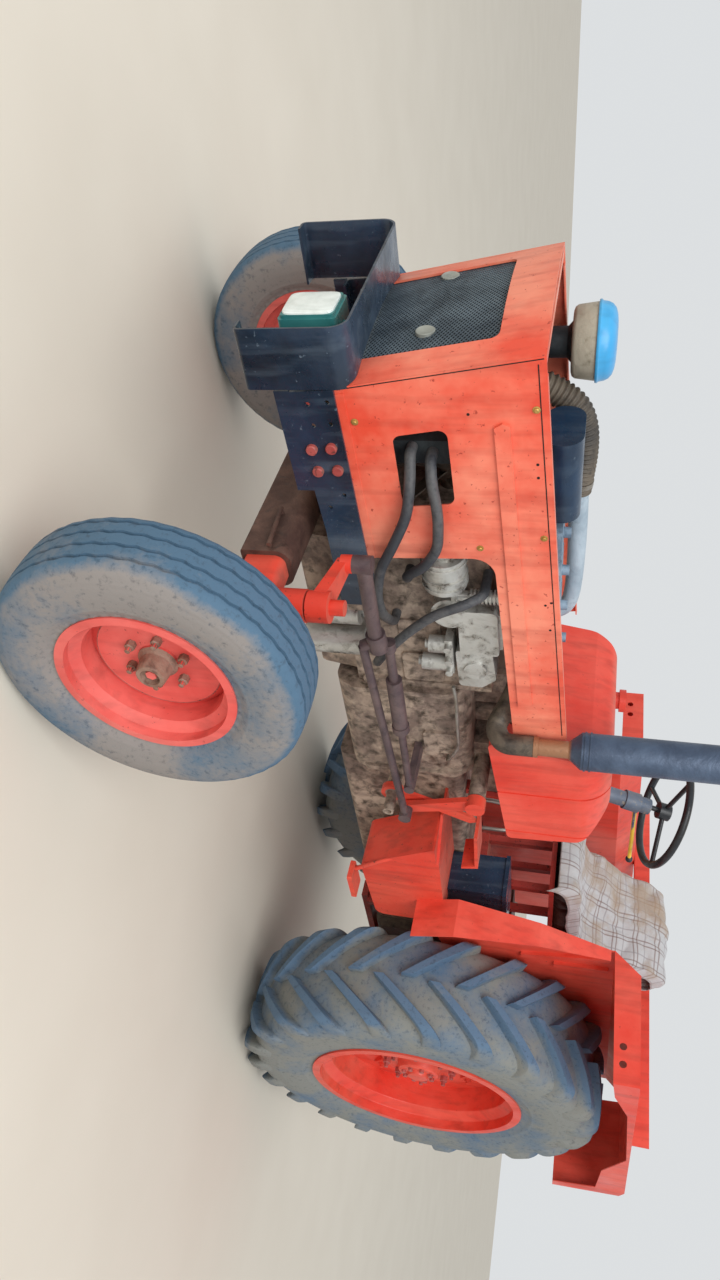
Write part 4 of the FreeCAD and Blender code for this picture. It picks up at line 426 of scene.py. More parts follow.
def smooth_line(points, count, soft=2, run_columns=3):
    """Evenly spaced points along a line, each replaced by the mean of itself and its `soft` neighbours each way."""
    points = np.asarray(points, float)
    steps = np.linalg.norm(np.diff(points[:, :run_columns], axis=0), axis=1)
    run = np.concatenate([[0.0], np.cumsum(steps)])
    even = np.linspace(0, run[-1], count)
    line = np.stack([np.interp(even, run, column) for column in points.T])
    if soft:
        padded = np.pad(line, ((0, 0), (soft, soft)), mode="reflect", reflect_type="odd")
        window = np.lib.stride_tricks.sliding_window_view(padded, 2 * soft + 1, axis=1)
        line = window.mean(axis=2)
    return line.T


def about_axle(centre, y, radius, degrees):
    """Point = centre + (radius x sine, y, radius x cosine): the angle runs forward from the top of the wheel."""
    angle = np.radians(degrees)
    y, radius, angle = np.broadcast_arrays(y, radius, angle)
    return np.stack([centre[0] + radius * np.sin(angle), centre[1] + y, centre[2] + radius * np.cos(angle)], axis=-1)


def circle(first, second, sides):
    """Points round a unit circle, first x cosine + second x sine; given rows of directions, a circle for each."""
    angle = np.linspace(0, 2 * np.pi, sides, endpoint=False)[:, None]
    return np.cos(angle) * first[..., None, :] + np.sin(angle) * second[..., None, :]


def turned(profile, centres, direction, sides):
    """Each profile point (height, radius) becomes a ring: centre + direction x height + radius x (cosine, sine)."""
    height, radius = np.asarray(profile, float).T
    axis = np.array(direction, float) / np.linalg.norm(direction)
    helper = np.array((0.0, 0.0, 1.0)) if abs(axis[2]) < 0.9 else np.array((1.0, 0.0, 0.0))
    first = np.cross(axis, helper)
    first /= np.linalg.norm(first)
    ring = circle(first, np.cross(axis, first), sides)
    local = height[:, None, None] * axis + radius[:, None, None] * ring
    return np.asarray(centres, float)[:, None, None, :] + local


def tube(path, radius, sides, up=(0.0, 0.0, 1.0)):
    """A ring of `sides` points round each path point, square to the path's direction there."""
    along = np.gradient(path, axis=0)
    along /= np.linalg.norm(along, axis=1, keepdims=True)
    first = np.cross(along, np.array(up))
    first /= np.linalg.norm(first, axis=1, keepdims=True)
    width = np.broadcast_to(radius, len(path))[:, None, None]
    return (path[:, None] + width * circle(first, np.cross(along, first), sides))[None]


def other_side(grids):
    """The same grid seen in a mirror standing along the tractor's middle: y becomes -y."""
    return grids * np.array((1.0, -1.0, 1.0))


def hump(value, middle, width):
    """e to the power -((value - middle) / width) squared: 1 at the middle and nearly 0 two widths away."""
    return np.exp(-((value - middle) / width) ** 2)


def wheel_centre(axle_x, box):
    """The axle's x with the middle of the tyre's box in y and z."""
    _, y, z = np.mean(box, axis=0)
    return np.array((axle_x, y, z))


def points_of(mesh):
    """The points of a mesh as rows of x, y and z."""
    points = np.empty(len(mesh.vertices) * 3)
    mesh.vertices.foreach_get("co", points)
    return points.reshape(-1, 3)


print("a bolt head of 3 rings:", turned([(0, 1), (1, 1), (1, 0)], [(0, 0, 0)], (0, 1, 0), 6).shape)

# %% [markdown]
# ## The rear tyres
# A drive tyre is moulded: bars stand 40 millimetres above the carcass, lean back from the centre to the
# shoulder, then turn down the sidewall and fade. Both halves carry the same bars, half a pitch apart. The
# carcass is one profile turned about the axle. All 44 bars come from one cross-section carried along one
# path in (distance from the middle, radius, angle), so they are a single array.

# %% Rear tyres
SHIFT_X = -1.171759                 # x of the rear axle; places below that add it are measured from that axle
BARS_A_SIDE = 22
STEPS_A_BAR = 12                    # Columns of the carcass from one bar to the next
BAR_FLARE = 1.38                    # How much wider a bar is at its foot
REAR_TREAD = (0.735, 0.775)         # Radii where the tread's look starts and where it is full
rear_centre = wheel_centre(SHIFT_X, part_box("rear_tyre_left"))
# Distance from the middle plane, radius
REAR_CARCASS = mm((0, 743), (90, 741), (150, 729), (188, 706), (204, 672), (208.5, 630), (208.5, 590), (206, 560),
                  (200, 525), (190, 492), (180.5, 470), (180.5, 452.5), (180.5, 433.5))
# Distance and radius of the crown, distance and radius of the root, degrees ahead, half width of the crown
BAR_PATH = ((0.006, 0.785, 0.006, 0.731, 9.3, 0.0205),
            (0.095, 0.783, 0.095, 0.729, 1.0, 0.0245),
            (0.182, 0.772, 0.170, 0.706, -7.0, 0.029),
            (0.203, 0.742, 0.190, 0.682, -8.8, 0.031),
            (0.2122, 0.705, 0.196, 0.662, -9.2, 0.031),
            (0.2115, 0.668, 0.198, 0.645, -9.2, 0.030),
            (0.2060, 0.640, 0.198, 0.630, -9.2, 0.028))
# Share of the way across a bar, share of its height
BAR_SECTION = np.array(((-1.0, 0.0), (-0.90, 0.45), (-0.80, 0.88), (-0.70, 1.0), (-0.25, 1.0), (0.25, 1.0),
                        (0.70, 1.0), (0.80, 0.88), (0.90, 0.45), (1.0, 0.0)))
# Rise, radius and width of a rib where the shoulder ends, then of one that shields the rim
REAR_RIBS = ((0.0022, 0.610, 0.004), (0.0030, 0.502, 0.006))
half_profile = smooth_line(REAR_CARCASS, 70)
for rise, at, width in REAR_RIBS:
    half_profile[:, 0] += rise * hump(half_profile[:, 1], at, width)
whole_profile = np.concatenate([half_profile, half_profile[:0:-1] * (-1, 1)])
turn = np.linspace(0, 360, BARS_A_SIDE * STEPS_A_BAR, endpoint=False)
carcass = about_axle(rear_centre, whole_profile[:, :1], whole_profile[:, 1:], turn)[None]

path = smooth_line(BAR_PATH, 34, 1, 2)
height = BAR_SECTION[:, 1]
bar_y = path[:, 2:3] + (path[:, 0:1] - path[:, 2:3]) * height
bar_radius = path[:, 3:4] + (path[:, 1:2] - path[:, 3:4]) * height
bar_degrees = path[:, 4:5] + np.degrees(path[:, 5:6] * BAR_FLARE * BAR_SECTION[:, 0] / bar_radius)
pitch = 360 / BARS_A_SIDE
first_bar = (180 - path[0, 4] + np.arange(BARS_A_SIDE) * pitch)[:, None, None]
bars = np.concatenate([about_axle(rear_centre, bar_y[None], bar_radius[None], bar_degrees + first_bar),
                       about_axle(rear_centre, -bar_y[None], bar_radius[None], bar_degrees + first_bar + pitch / 2)])


def mark_tread(piece, low, high):
    """Attribute `tread` = (distance from the axle - low) / (high - low), held between 0 and 1."""
    points = points_of(piece.data)
    middle = (points.min(axis=0) + points.max(axis=0)) / 2
    distance = np.hypot(points[:, 0] - middle[0], points[:, 2] - middle[2])
    share = np.clip((distance - low) / (high - low), 0, 1)
    piece.data.attributes.new("tread", "FLOAT", "POINT").data.foreach_set("value", share)


for side, grids in (("left", (carcass, bars)), ("right", (other_side(carcass), other_side(bars)))):
    shell = surface("rear_carcass_" + side, grids[0], rear_rubber, closed_rows=True)
    tread = surface("rear_bars_" + side, grids[1], rear_rubber, caps=True, crease=38)
    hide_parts("rear_tyre_" + side)
    for piece in (shell, tread):
        mark_tread(piece, *REAR_TREAD)
        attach(piece, "wheel_rear_" + side)
print("rear tyre radius", round(float(np.hypot(bars[..., 0] - rear_centre[0], bars[..., 2] - rear_centre[2]).max()), 4))

# %% [markdown]
# ## The front tyres
# A steering tyre has ribs instead of bars, with narrow zigzag grooves between them. The grooves are steps
# in the same turned profile, and the zigzag is a sideways shift of the tread's rows that depends on the
# angle, so tyre and grooves stay one closed surface.

# %% Front tyres
WHEELBASE = 2.657
GROOVES = (-0.056, -0.0195, 0.0195, 0.056)      # Distances from the middle plane
GROOVE_DEPTH = 0.0075
# Across a groove: distance from its middle, share of its depth
GROOVE_STEP = np.array(((-0.0048, 0.0), (-0.0036, -1.0), (0.0036, -1.0), (0.0048, 0.0)))
CROWN = 0.3788                      # Radius on the middle plane
CROWN_FALL = 0.75                   # The tread's radius falls by this x the distance from the middle squared
ZIGZAG = 0.0022                     # How far the zigzag swings
ZIGZAGS = 48
ZIGZAG_EDGE = 0.085                 # Distance from the middle where it has faded out
ZIGZAG_FADE = 0.02
FRONT_TREAD = (0.350, 0.374)        # Radii where the tread's look starts and where it is full
front_centre = wheel_centre(WHEELBASE + SHIFT_X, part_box("front_tyre_left"))
# Distance from the middle plane, radius
FRONT_SHOULDER = mm((69, 374.5), (77, 370), (87, 359), (94, 340), (98.5, 318), (98.5, 292), (94, 264), (86, 242),
                    (75.8, 230), (75, 220), (75, 205))
# Rise, radius and width of a fine rib on the sidewall, then of the bead's shield
FRONT_RIBS = ((0.0012, 0.335, 0.0025), (0.0018, 0.252, 0.004))
tread_y = (np.array(GROOVES)[:, None] + GROOVE_STEP[:, 0]).ravel()
tread_drop = np.tile(GROOVE_STEP[:, 1] * GROOVE_DEPTH, len(GROOVES))
tread_radius = CROWN - CROWN_FALL * tread_y ** 2 + tread_drop
wall = smooth_line(FRONT_SHOULDER, 46, 1)
for rise, at, width in FRONT_RIBS:
    wall[:, 0] += rise * hump(wall[:, 1], at, width)
row_y = np.concatenate([-wall[::-1, 0], tread_y, wall[:, 0]])
row_radius = np.concatenate([wall[::-1, 1], tread_radius, wall[:, 1]])
on_tread = np.clip((ZIGZAG_EDGE - np.abs(row_y)) / ZIGZAG_FADE, 0, 1)
turn = np.linspace(0, 360, ZIGZAGS * 8, endpoint=False)
wave = 2 * np.abs(2 * ((turn * ZIGZAGS / 360) % 1) - 1) - 1
shifted_y = row_y[:, None] + ZIGZAG * on_tread[:, None] * wave
ribbed = about_axle(front_centre, shifted_y, row_radius[:, None], turn)[None]
for side, grids in (("left", ribbed), ("right", other_side(ribbed))):
    tyre = surface("ribbed_tyre_" + side, grids, front_rubber, closed_rows=True, crease=32)
    mark_tread(tyre, *FRONT_TREAD)
    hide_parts("front_tyre_" + side)
    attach(tyre, "wheel_front_" + side)
print("front tyre rows and columns", ribbed.shape[1:3])

# %% [markdown]
# ## The grille's mesh
# The nose leans back and bows from side to side, and the mesh follows it. Expanded metal is a lattice of
# slanting strands, so each family of strands is a batch of straight runs across the opening, each a line
# z = slope x y + offset cut off at the rim. Where two families cross, the diamonds appear by themselves.

# %% Grille
NOSE_FOOT = (3.095 + SHIFT_X, 0.757)   # Lower edge of the nose at its sides: x and z
NOSE_HEAD = (3.171 + SHIFT_X, 1.234)
NOSE_BOW = 0.034
NOSE_HALF = 0.291
MESH_HALF = 0.2125
MESH_LOW, MESH_TOP = 0.779, 1.133
DIAMOND = (0.0150, 0.0105)             # Width and height of one diamond
STRAND = (0.0030, 0.0014)              # Width and thickness of a strand
STRAND_STEPS = 18                      # Rows along a strand, so that it bows with the nose
STRAND_OVERLAP = 0.0004                # How far one family of strands lies behind the mesh's middle
MESH_DEPTH = 0.0095                    # Behind the nose's outer skin
MARGIN = 0.004                         # From the mesh's edge to its first strand, and to the rim's line
RIM = mm((-6, 0), (6, 0), (6, 3), (-6, 3))   # Across the rim, depth
RIM_PROUD = 0.001                      # How far the rim stands before the mesh
PLATE = mm((-4, 0), (-4, 23.5), (4, 23.5), (5.5, 21.5), (4.5, 18.5), (4.5, 0))
PLATES = ((-0.176, 0.958), (0.124, 0.945))
PLATE_DEPTH = 0.0085


def on_nose(y, z, depth):
    """x = foot + lean x height + bow x (1 - (y / half width) squared) - depth."""
    lean = (NOSE_HEAD[0] - NOSE_FOOT[0]) / (NOSE_HEAD[1] - NOSE_FOOT[1])
    return NOSE_FOOT[0] + (z - NOSE_FOOT[1]) * lean + NOSE_BOW * (1 - (y / NOSE_HALF) ** 2) - depth


def strands(slope):
    """Runs with z = slope x y + offset, one offset every diamond, between the rim's sides, foot and head."""
    reach = abs(slope) * MESH_HALF
    offset = np.arange(MESH_LOW - reach + MARGIN, MESH_TOP + reach - MARGIN, DIAMOND[1])
    ends = np.sort(np.stack([(MESH_LOW - offset) / slope, (MESH_TOP - offset) / slope]), axis=0)
    start, end = np.maximum(ends[0], -MESH_HALF), np.minimum(ends[1], MESH_HALF)
    y = np.linspace(start, end, STRAND_STEPS, axis=1)
    z = offset[:, None] + slope * y
    across = np.array((-slope, 1.0)) / math.hypot(slope, 1.0)
    corner = np.array(((-0.5, -0.5), (0.5, -0.5), (0.5, 0.5), (-0.5, 0.5))) * STRAND
    side_y = y[..., None] + across[0] * corner[:, 0]
    side_z = z[..., None] + across[1] * corner[:, 0]
    depth = MESH_DEPTH + corner[:, 1] + STRAND_OVERLAP * np.sign(slope)
    return np.stack([on_nose(side_y, side_z, depth), side_y, side_z], axis=-1)


slope = DIAMOND[1] / DIAMOND[0]
mesh = surface("grille_mesh", np.concatenate([strands(slope), strands(-slope)]), mesh_black, caps=True)
rim_path = np.array(((-1, 0), (1, 0), (1, 1), (-1, 1), (-1, 0)), float) * (MESH_HALF - MARGIN, MESH_TOP - MESH_LOW)
rim_path += (0, MESH_LOW)
rim_line = smooth_line(rim_path, 121, 1)[:-1]
outward = np.stack([rim_line[:, 0], rim_line[:, 1] - (MESH_LOW + MESH_TOP) / 2], axis=1)
outward /= np.linalg.norm(outward, axis=1, keepdims=True)
rim_y = rim_line[:, :1] + outward[:, :1] * RIM[:, 0]
rim_z = rim_line[:, 1:] + outward[:, 1:] * RIM[:, 0]
rim_grid = np.stack([on_nose(rim_y, rim_z, MESH_DEPTH - RIM_PROUD + RIM[:, 1]), rim_y, rim_z], axis=-1)[None]
rim = surface("grille_rim", rim_grid, mesh_black, closed_rows=True)
plate_places = [(on_nose(y, z, PLATE_DEPTH), y, z) for y, z in PLATES]
plates = surface("round_plates", turned(PLATE, plate_places, (1, 0, 0), 40), weathered_zinc)
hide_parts("grille")
for piece in (mesh, rim, plates):
    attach(piece, "chassis")
print("strands", len(mesh.data.polygons) // ((STRAND_STEPS - 1) * 4 + 2))

# %% [markdown]
# Behind the lattice stands one thin dark sheet that follows the nose: painted shade, standing for the dark,
# shaded inside of the nose seen through the mesh.

# %% Painted shade behind the grille
SHADE_SHEET_DEPTHS = (0.0150, 0.0162)        # Of its front and back face, behind the nose's skin
shade_sheet_y, shade_sheet_z = np.meshgrid(np.linspace(-MESH_HALF, MESH_HALF, 25), np.linspace(MESH_LOW, MESH_TOP, 13))
shade_sheet_faces = [np.stack([on_nose(shade_sheet_y, shade_sheet_z, depth), shade_sheet_y, shade_sheet_z], axis=-1) for depth in SHADE_SHEET_DEPTHS]
around_shade_sheet = np.concatenate([shade_sheet_faces[0], shade_sheet_faces[1][:, ::-1]], axis=1)[None]
# Painted shade: one dark sheet behind the mesh
shade_sheet = surface("grille_shade_sheet", around_shade_sheet, grille_shade_black, caps=True, crease=30)
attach(shade_sheet, "chassis")

# %% [markdown]
# ## Small hardware
# Brass-coated screws close the bonnet, four red bolts hold each front rail, and a few empty holes are left
# where other things once were bolted on; each hole is a nearly black disc of painted shade. Each kind is one
# profile placed many times: places are (x, z) on the bonnet or rail, and a profile's points are
# (distance outwards, radius).

# %% Hardware
BONNET_SIDE = 0.2912
SCREWS = mm((3043, 1215), (2681, 1239), (2640, 1079), (3007, 795))
HOLES = mm((2899, 1220), (2862, 1222), (3030, 1063), (2462, 1262), (2452, 1247), (2360, 1262))
RAIL_SIDE = 0.3003
RAIL_BOLTS = mm((2940, 731), (2877, 738), (2936, 681), (2873, 687))
SCREW = mm((-2, 0), (-2, 9), (1, 9), (1.8, 6.2), (5, 5.8), (6.2, 4), (6.2, 0))
HOLE = mm((-1, 0), (-1, 3.6), (0.4, 3.6), (0.4, 0))
BOLT = mm((-1, 0), (-1, 14.2), (8.8, 13.9), (11.2, 11.5), (11.8, 0))
for name, places, half, profile, sides, finish, slot in (
        ("bonnet_screws", SCREWS, BONNET_SIDE, SCREW, 24, dull_brass, "bare_steel"),
        # Nearly black discs: painted shade inside the empty holes
        ("bonnet_holes", HOLES, BONNET_SIDE, HOLE, 16, painted_shade_black, "grey_mesh"),
        ("rail_bolts", RAIL_BOLTS, RAIL_SIDE, BOLT, 24, red_bolts_and_groove_shadow, "orange_paint")):
    left = turned(profile, [(x + SHIFT_X, half, z) for x, z in places], (0, 1, 0), sides)
    piece = surface(name, np.concatenate([left, other_side(left)]), finish, crease=30)
    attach(piece, "chassis")

# %% [markdown]
# Two folds on each side of the bonnet lie in shade: where it meets the nose, and where its top edge is turned
# in. Their shade is painted as a dark line, a thin tube sunk half its width into the sheet.

# %% Painted shadows in the bonnet's folds
SEAMS = (((3.165, 1.229), (3.128, 0.997), (3.091, 0.764)), ((3.152, 1.217), (2.620, 1.256), (1.905, 1.309)))
SHADOW_LINE_RADIUS = 0.0014
SHADOW_LINE_SINK = 0.0002                     # How far its middle lies under the sheet's face
lines = [smooth_line([(x + SHIFT_X, BONNET_SIDE - SHADOW_LINE_SINK, z) for x, z in route], 24, 0) for route in SEAMS]
fold_shadow_grids = np.concatenate([tube(line, SHADOW_LINE_RADIUS, 6, up=(0.0, 1.0, 0.0)) for line in lines])
# Painted shadow: dark tubes along the folds
fold_shadows = surface("bonnet_fold_shadows", np.concatenate([fold_shadow_grids, other_side(fold_shadow_grids)]), painted_shade_black, caps=True)
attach(fold_shadows, "chassis")

# %% [markdown]
# A wheel's middle is all turned parts: hub, nuts on a ring of studs, and a thin dark red ring that is a painted
# shadow line in the front disc's weld groove. The front hubs were never painted and are rusty under dust. The
# rear hubs carry a thick flange, sprayed with the rim.

# %% Hubs and nuts
# Radii of the rings of front studs, rear studs and the bolts on the rear hub's cap
STUD_RING, REAR_STUD_RING, CAP_RING = 0.075, 0.146, 0.065
# Every profile here: distance outwards from the wheel's middle plane, radius
HUB = mm((0.6, 50.2), (12.4, 40.8), (47.8, 36.8), (52.6, 33.8), (52.6, 24.6), (38.6, 23.6), (38.6, 0.5))
NUT = mm((-5.8, 0), (-5.8, 12.8), (11.8, 12.8), (13.2, 10), (13.2, 7.4), (24.6, 7.2), (25.6, 5), (25.6, 0))
# A thin ring of painted shadow, where the front disc's weld groove lies in shade
GROOVE_SHADOW_RING = mm((-5.6, 151.8), (-4.3, 152.8), (-4.3, 154.2), (-6, 155.2))
REAR_HUB = mm((-34, 0), (-34, 182), (52, 177), (60, 168), (60, 100), (74, 95), (98, 88), (104, 80), (104, 48),
              (118, 43), (122, 34), (122, 0))
REAR_NUT = mm((58, 0), (58, 17.5), (80, 17.5), (83, 14), (83, 10), (98, 9.8), (100, 7), (100, 0))
REAR_BOLT = mm((102, 0), (102, 11), (114, 11), (116, 8.5), (116, 0))


def ring_places(centre, radius, count, first):
    """`count` even places round the axle, the first at `first` degrees forward from the top."""
    return about_axle(centre, 0.0, radius, first - 360 / count * np.arange(count))


for name, profile, places, sides, finish, end in (
        ("hub_cap", HUB, [front_centre], 48, hub_rust, "front"),
        ("hub_nuts", NUT, ring_places(front_centre, STUD_RING, 6, 75), 6, hub_rust, "front"),
        # Painted shadow line in the weld groove round the front disc
        ("disc_weld", GROOVE_SHADOW_RING, [front_centre], 96, red_bolts_and_groove_shadow, "front"),
        ("rear_hub", REAR_HUB, [rear_centre], 72, orange, "rear"),
        ("rear_hub_nuts", REAR_NUT, ring_places(rear_centre, REAR_STUD_RING, 8, 90), 6, red_bolts_and_groove_shadow, "rear"),
        ("rear_hub_bolts", REAR_BOLT, ring_places(rear_centre, CAP_RING, 8, 70), 6, red_bolts_and_groove_shadow, "rear")):
    left = turned(profile, places, (0, 1, 0), sides)
    looped = profile[0, 1] > 0          # A profile that doesn't start on the axis is closed into a ring
    for side, grids in (("left", left), ("right", other_side(left))):
        piece = surface(name + "_" + side, grids, finish, closed_rows=bool(looped), crease=28)
        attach(piece, "wheel_" + end + "_" + side)

# %% [markdown]
# ## The lamp's glass
# A work lamp has a square glass with rounded corners and a slight dome, pressed with upright flutes. The
# outline is a rounded square, |u| to the power 6 plus |v| to the power 6 equals 1, shrunk ring by ring.

# %% Lamp glass
lamp_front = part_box("headlamp")[1][0]
LAMP_CENTRE = (0.150, 0.690)        # y and z
GLASS_HALF = (0.0545, 0.0625)       # Half its width and height
SQUARENESS = 6
angle = np.linspace(0, 2 * np.pi, 72, endpoint=False)
corner_power = (np.abs(np.cos(angle)) ** SQUARENESS + np.abs(np.sin(angle)) ** SQUARENESS) ** (-1 / SQUARENESS)
# Each ring's share of the outline, and how far it stands before the lamp's case
ring = np.array((1.0, 1.0, 0.985, 0.95, 0.85, 0.7, 0.5, 0.3, 0.1, 0.001))
proud = np.array((-0.004, 0.001, 0.0035, 0.0045, 0.0055, 0.0065, 0.0072, 0.0077, 0.0080, 0.0080))
glass_y = LAMP_CENTRE[0] + GLASS_HALF[0] * ring[:, None] * (corner_power * np.cos(angle))
glass_z = LAMP_CENTRE[1] + GLASS_HALF[1] * ring[:, None] * (corner_power * np.sin(angle))
glass_x = np.broadcast_to((lamp_front + proud)[:, None], glass_y.shape)
glass = surface("lamp_glass", np.stack([glass_x, glass_y, glass_z], axis=-1)[None], lamp_glass, caps=True)
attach(glass, "chassis")

# %% [markdown]
# ## The pre-cleaner and the intake hose
# Air goes in under the blue cap, down through the pale bowl, over to a corrugated hose, and on through a
# painted pipe to the engine. Stem, bowl and cap are turned.

# %% Pre-cleaner
BOWL_CENTRE = (2.950 + SHIFT_X, -0.195, 1.268)
# Height from the bowl's foot, radius
STEM = mm((-83, 0), (-83, 40.5), (-12, 40.5), (-2, 52), (4, 52), (4, 0))
BOWL = mm((0, 0), (0, 78), (3, 87), (11, 92.5), (58, 98.5), (65.5, 99), (65.5, 0))
CAP = mm((62.5, 0), (62.5, 103.5), (65.5, 105), (69, 104.5), (72, 101), (86, 98.5), (97, 93), (105.5, 83),
         (110.5, 68), (113, 48), (113.8, 24), (114, 0))
for name, profile, finish in (("cleaner_stem", STEM, core_grey), ("cleaner_bowl", BOWL, bowl_pale),
                              ("cleaner_cap", CAP, cap_blue)):
    piece = surface(name, turned(profile, [BOWL_CENTRE], (0, 0, 1), 72), finish, crease=40)
    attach(piece, "chassis")
    if finish is cap_blue:
        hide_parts("air_precleaner")

# %% [markdown]
# The lines of hose and pipe are NURBS splines with a few given points, and the corrugation is the
# tube's radius as a wave along that line. A steel clamp holds the hose where the pipe enters it.

# %% Intake hose and pipe
HOSE_ROUTE = mm((2866, -140, 1150), (2862, -139, 1190), (2842, -138, 1232), (2800, -136, 1288), (2735, -136, 1313),
                (2650, -136, 1317), (2570, -136, 1309), (2520, -136, 1305))
PIPE_ROUTE = mm((2540, -136, 1306), (2400, -135, 1312), (2200, -130, 1311), (2100, -125, 1304), (2055, -118, 1282),
                (2050, -110, 1240), (2050, -105, 1200))
RIB_PITCH = 0.0145
STEPS_A_RIB = 8
HOSE_RADIUS, RIB_HEIGHT = 0.0370, 0.0032
PIPE_RADII = (0.0300, 0.0245)       # At the hose and at the engine
CLAMP_RADIUS = 0.0412
CLAMP_ROWS = slice(-8, -4)          # Rows of the 80 along the hose that the clamp covers


def spline_points(name, route):
    """Points read from a NURBS spline of order 3 that has the route's points as its control points."""
    line = bpy.data.curves.new(name, "CURVE")
    line.dimensions = "3D"
    line.resolution_u = 24
    spline = line.splines.new("NURBS")
    spline.points.add(len(route) - 1)
    spline.points.foreach_set("co", np.array([(x + SHIFT_X, y, z, 1.0) for x, y, z in route]).ravel())
    spline.order_u = 3
    spline.use_endpoint_u = True
    guide = bpy.data.objects.new(name, line)
    read_line = bpy.data.meshes.new_from_object(guide)
    points = points_of(read_line)
    bpy.data.meshes.remove(read_line)
    bpy.data.objects.remove(guide)
    return points


hose_points = spline_points("hose_line", HOSE_ROUTE)
hose_length = np.linalg.norm(np.diff(hose_points, axis=0), axis=1).sum()
rings = int(hose_length / RIB_PITCH) * STEPS_A_RIB
hose_radius = HOSE_RADIUS + RIB_HEIGHT * np.cos(2 * np.pi * np.arange(rings) / STEPS_A_RIB)
duct = surface("corrugated_hose", tube(smooth_line(hose_points, rings, 1), hose_radius, 28), intake_rubber,
               caps=True, crease=60)
pipe_line = smooth_line(spline_points("pipe_line", PIPE_ROUTE), 60, 1)
pipe = surface("intake_pipe", tube(pipe_line, np.linspace(*PIPE_RADII, 60), 28), pipe_pale, caps=True)
band_line = smooth_line(hose_points, 80, 0)[CLAMP_ROWS]
band = surface("hose_clamp", tube(band_line, CLAMP_RADIUS, 32), bright_steel, caps=True)
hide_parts("intake_hose")
for piece in (duct, pipe, band):
    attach(piece, "chassis")
print("intake hose", round(float(hose_length), 3), "m long with", rings // STEPS_A_RIB, "ribs")

# %% [markdown]
# ## The seat's pads
# The cushion and backrest are foam under vinyl. Each starts as a plain closed block a little smaller than
# the real pad, and a short cloth simulation with air pressure inside swells it until its skin is tight, so
# sides and corners pull in as sewn covers do. The cap on each point's travel keeps it in the seat's space.

# %% Seat pads
PAD_VOXEL = 0.0055
PAD_TRAVEL = 0.024
PAD_HALF = 0.205
PRESSURE = 4.0
SWELL_FRAMES = 20
PADS = {"seat_pad": mm((352, 1330), (785, 1330), (785, 1374), (352, 1378), (352, 1330)),
        "back_pad": mm((232, 1378), (312, 1378), (152, 1722), (94, 1722), (232, 1378))}


def modified(piece):
    """The piece's mesh as its modifiers leave it."""
    return bpy.data.meshes.new_from_object(piece.evaluated_get(bpy.context.evaluated_depsgraph_get()))


def swollen(piece):
    """Cloth with pressure inside for SWELL_FRAMES, each point then held within PAD_TRAVEL of where it started."""
    remesh = piece.modifiers.new("remesh", "REMESH")
    remesh.mode = "VOXEL"
    remesh.voxel_size = PAD_VOXEL
    fine = modified(piece)
    piece.modifiers.clear()
    piece.data = fine
    start = points_of(fine)
    scene = bpy.context.scene
    cloth = piece.modifiers.new("cloth", "CLOTH")
    cloth.settings.use_pressure = True
    cloth.settings.uniform_pressure_force = PRESSURE
    cloth.settings.effector_weights.gravity = 0.0
    cloth.point_cache.frame_end = SWELL_FRAMES
    for frame_number in range(1, SWELL_FRAMES + 1):
        scene.frame_set(frame_number)
    blown = modified(piece)
    travel = points_of(blown) - start
    length = np.linalg.norm(travel, axis=1, keepdims=True)
    travel *= np.minimum(1.0, PAD_TRAVEL / np.maximum(length, 1e-9))
    fine.vertices.foreach_set("co", (start + travel).ravel())
    piece.modifiers.clear()
    bpy.data.meshes.remove(blown)
    scene.frame_set(1)
    return float(length.max())


for name, outline in PADS.items():
    ring = smooth_line(outline + (SHIFT_X, 0), 41, 1)[:-1]
    width = np.linspace(-PAD_HALF, PAD_HALF, 12)
    grid = np.stack(np.broadcast_arrays(ring[None, :, 0], width[:, None], ring[None, :, 1]), axis=-1)[None]
    pad = surface(name, grid, vinyl, caps=True)
    print(name, "swelled by at most", round(swollen(pad), 4))
    pad.data.materials.clear()
    pad.data.materials.append(vinyl)
    finer = pad.modifiers.new("finer", "SUBSURF")
    finer.levels = finer.render_levels = 1
    pad.data.polygons.foreach_set("use_smooth", np.ones(len(pad.data.polygons), dtype=bool))
    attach(pad, "chassis")
    if name == "seat_pad":
        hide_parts("seat_cushion")

# %% [markdown]
# ## The blanket
# A wool blanket is thrown over backrest and cushion to hide the torn vinyl. It is one sheet: its length
# follows the seat's outline, its width drops over the sides, and folds run down the back and gather where
# back and cushion meet. The plaid is woven, so it follows the sheet's own length and width through a UV map.

# %% Blanket
BLANKET_ROUTE = mm((52, 1500), (46, 1600), (50, 1700), (68, 1765), (110, 1786), (160, 1770), (205, 1690), (262, 1570),
                   (322, 1470), (372, 1425), (450, 1412), (600, 1408), (740, 1410), (800, 1398), (822, 1365),
                   (822, 1325))
BLANKET_HALF = 0.268                # Half the width of the cloth, laid flat
DROP_FROM = 0.212                   # Distance from the middle where it starts to hang over the sides
WOOL = 0.004                        # Thickness
FOLD, WRINKLE = 0.011, 0.007        # Heights of the broad folds and of the wrinkles between them
BUNDLE, HEAP = 0.030, 0.075         # Heights of the bunched back and of the heap in the seat's inner corner
along = smooth_line(BLANKET_ROUTE + (SHIFT_X, 0), 170, 3)
across = np.linspace(-BLANKET_HALF, BLANKET_HALF, 72)
tangent = np.gradient(along, axis=0)
tangent /= np.linalg.norm(tangent, axis=1, keepdims=True)
out_x, out_z = -tangent[:, 1:], tangent[:, :1]
share_along = np.linspace(0, 1, len(along))[:, None]
back_part = np.clip((0.60 - share_along) / 0.15, 0, 1)
hanging = np.clip(np.abs(across) - DROP_FROM, 0, None)[None, :]
drape = hanging / (BLANKET_HALF - DROP_FROM)
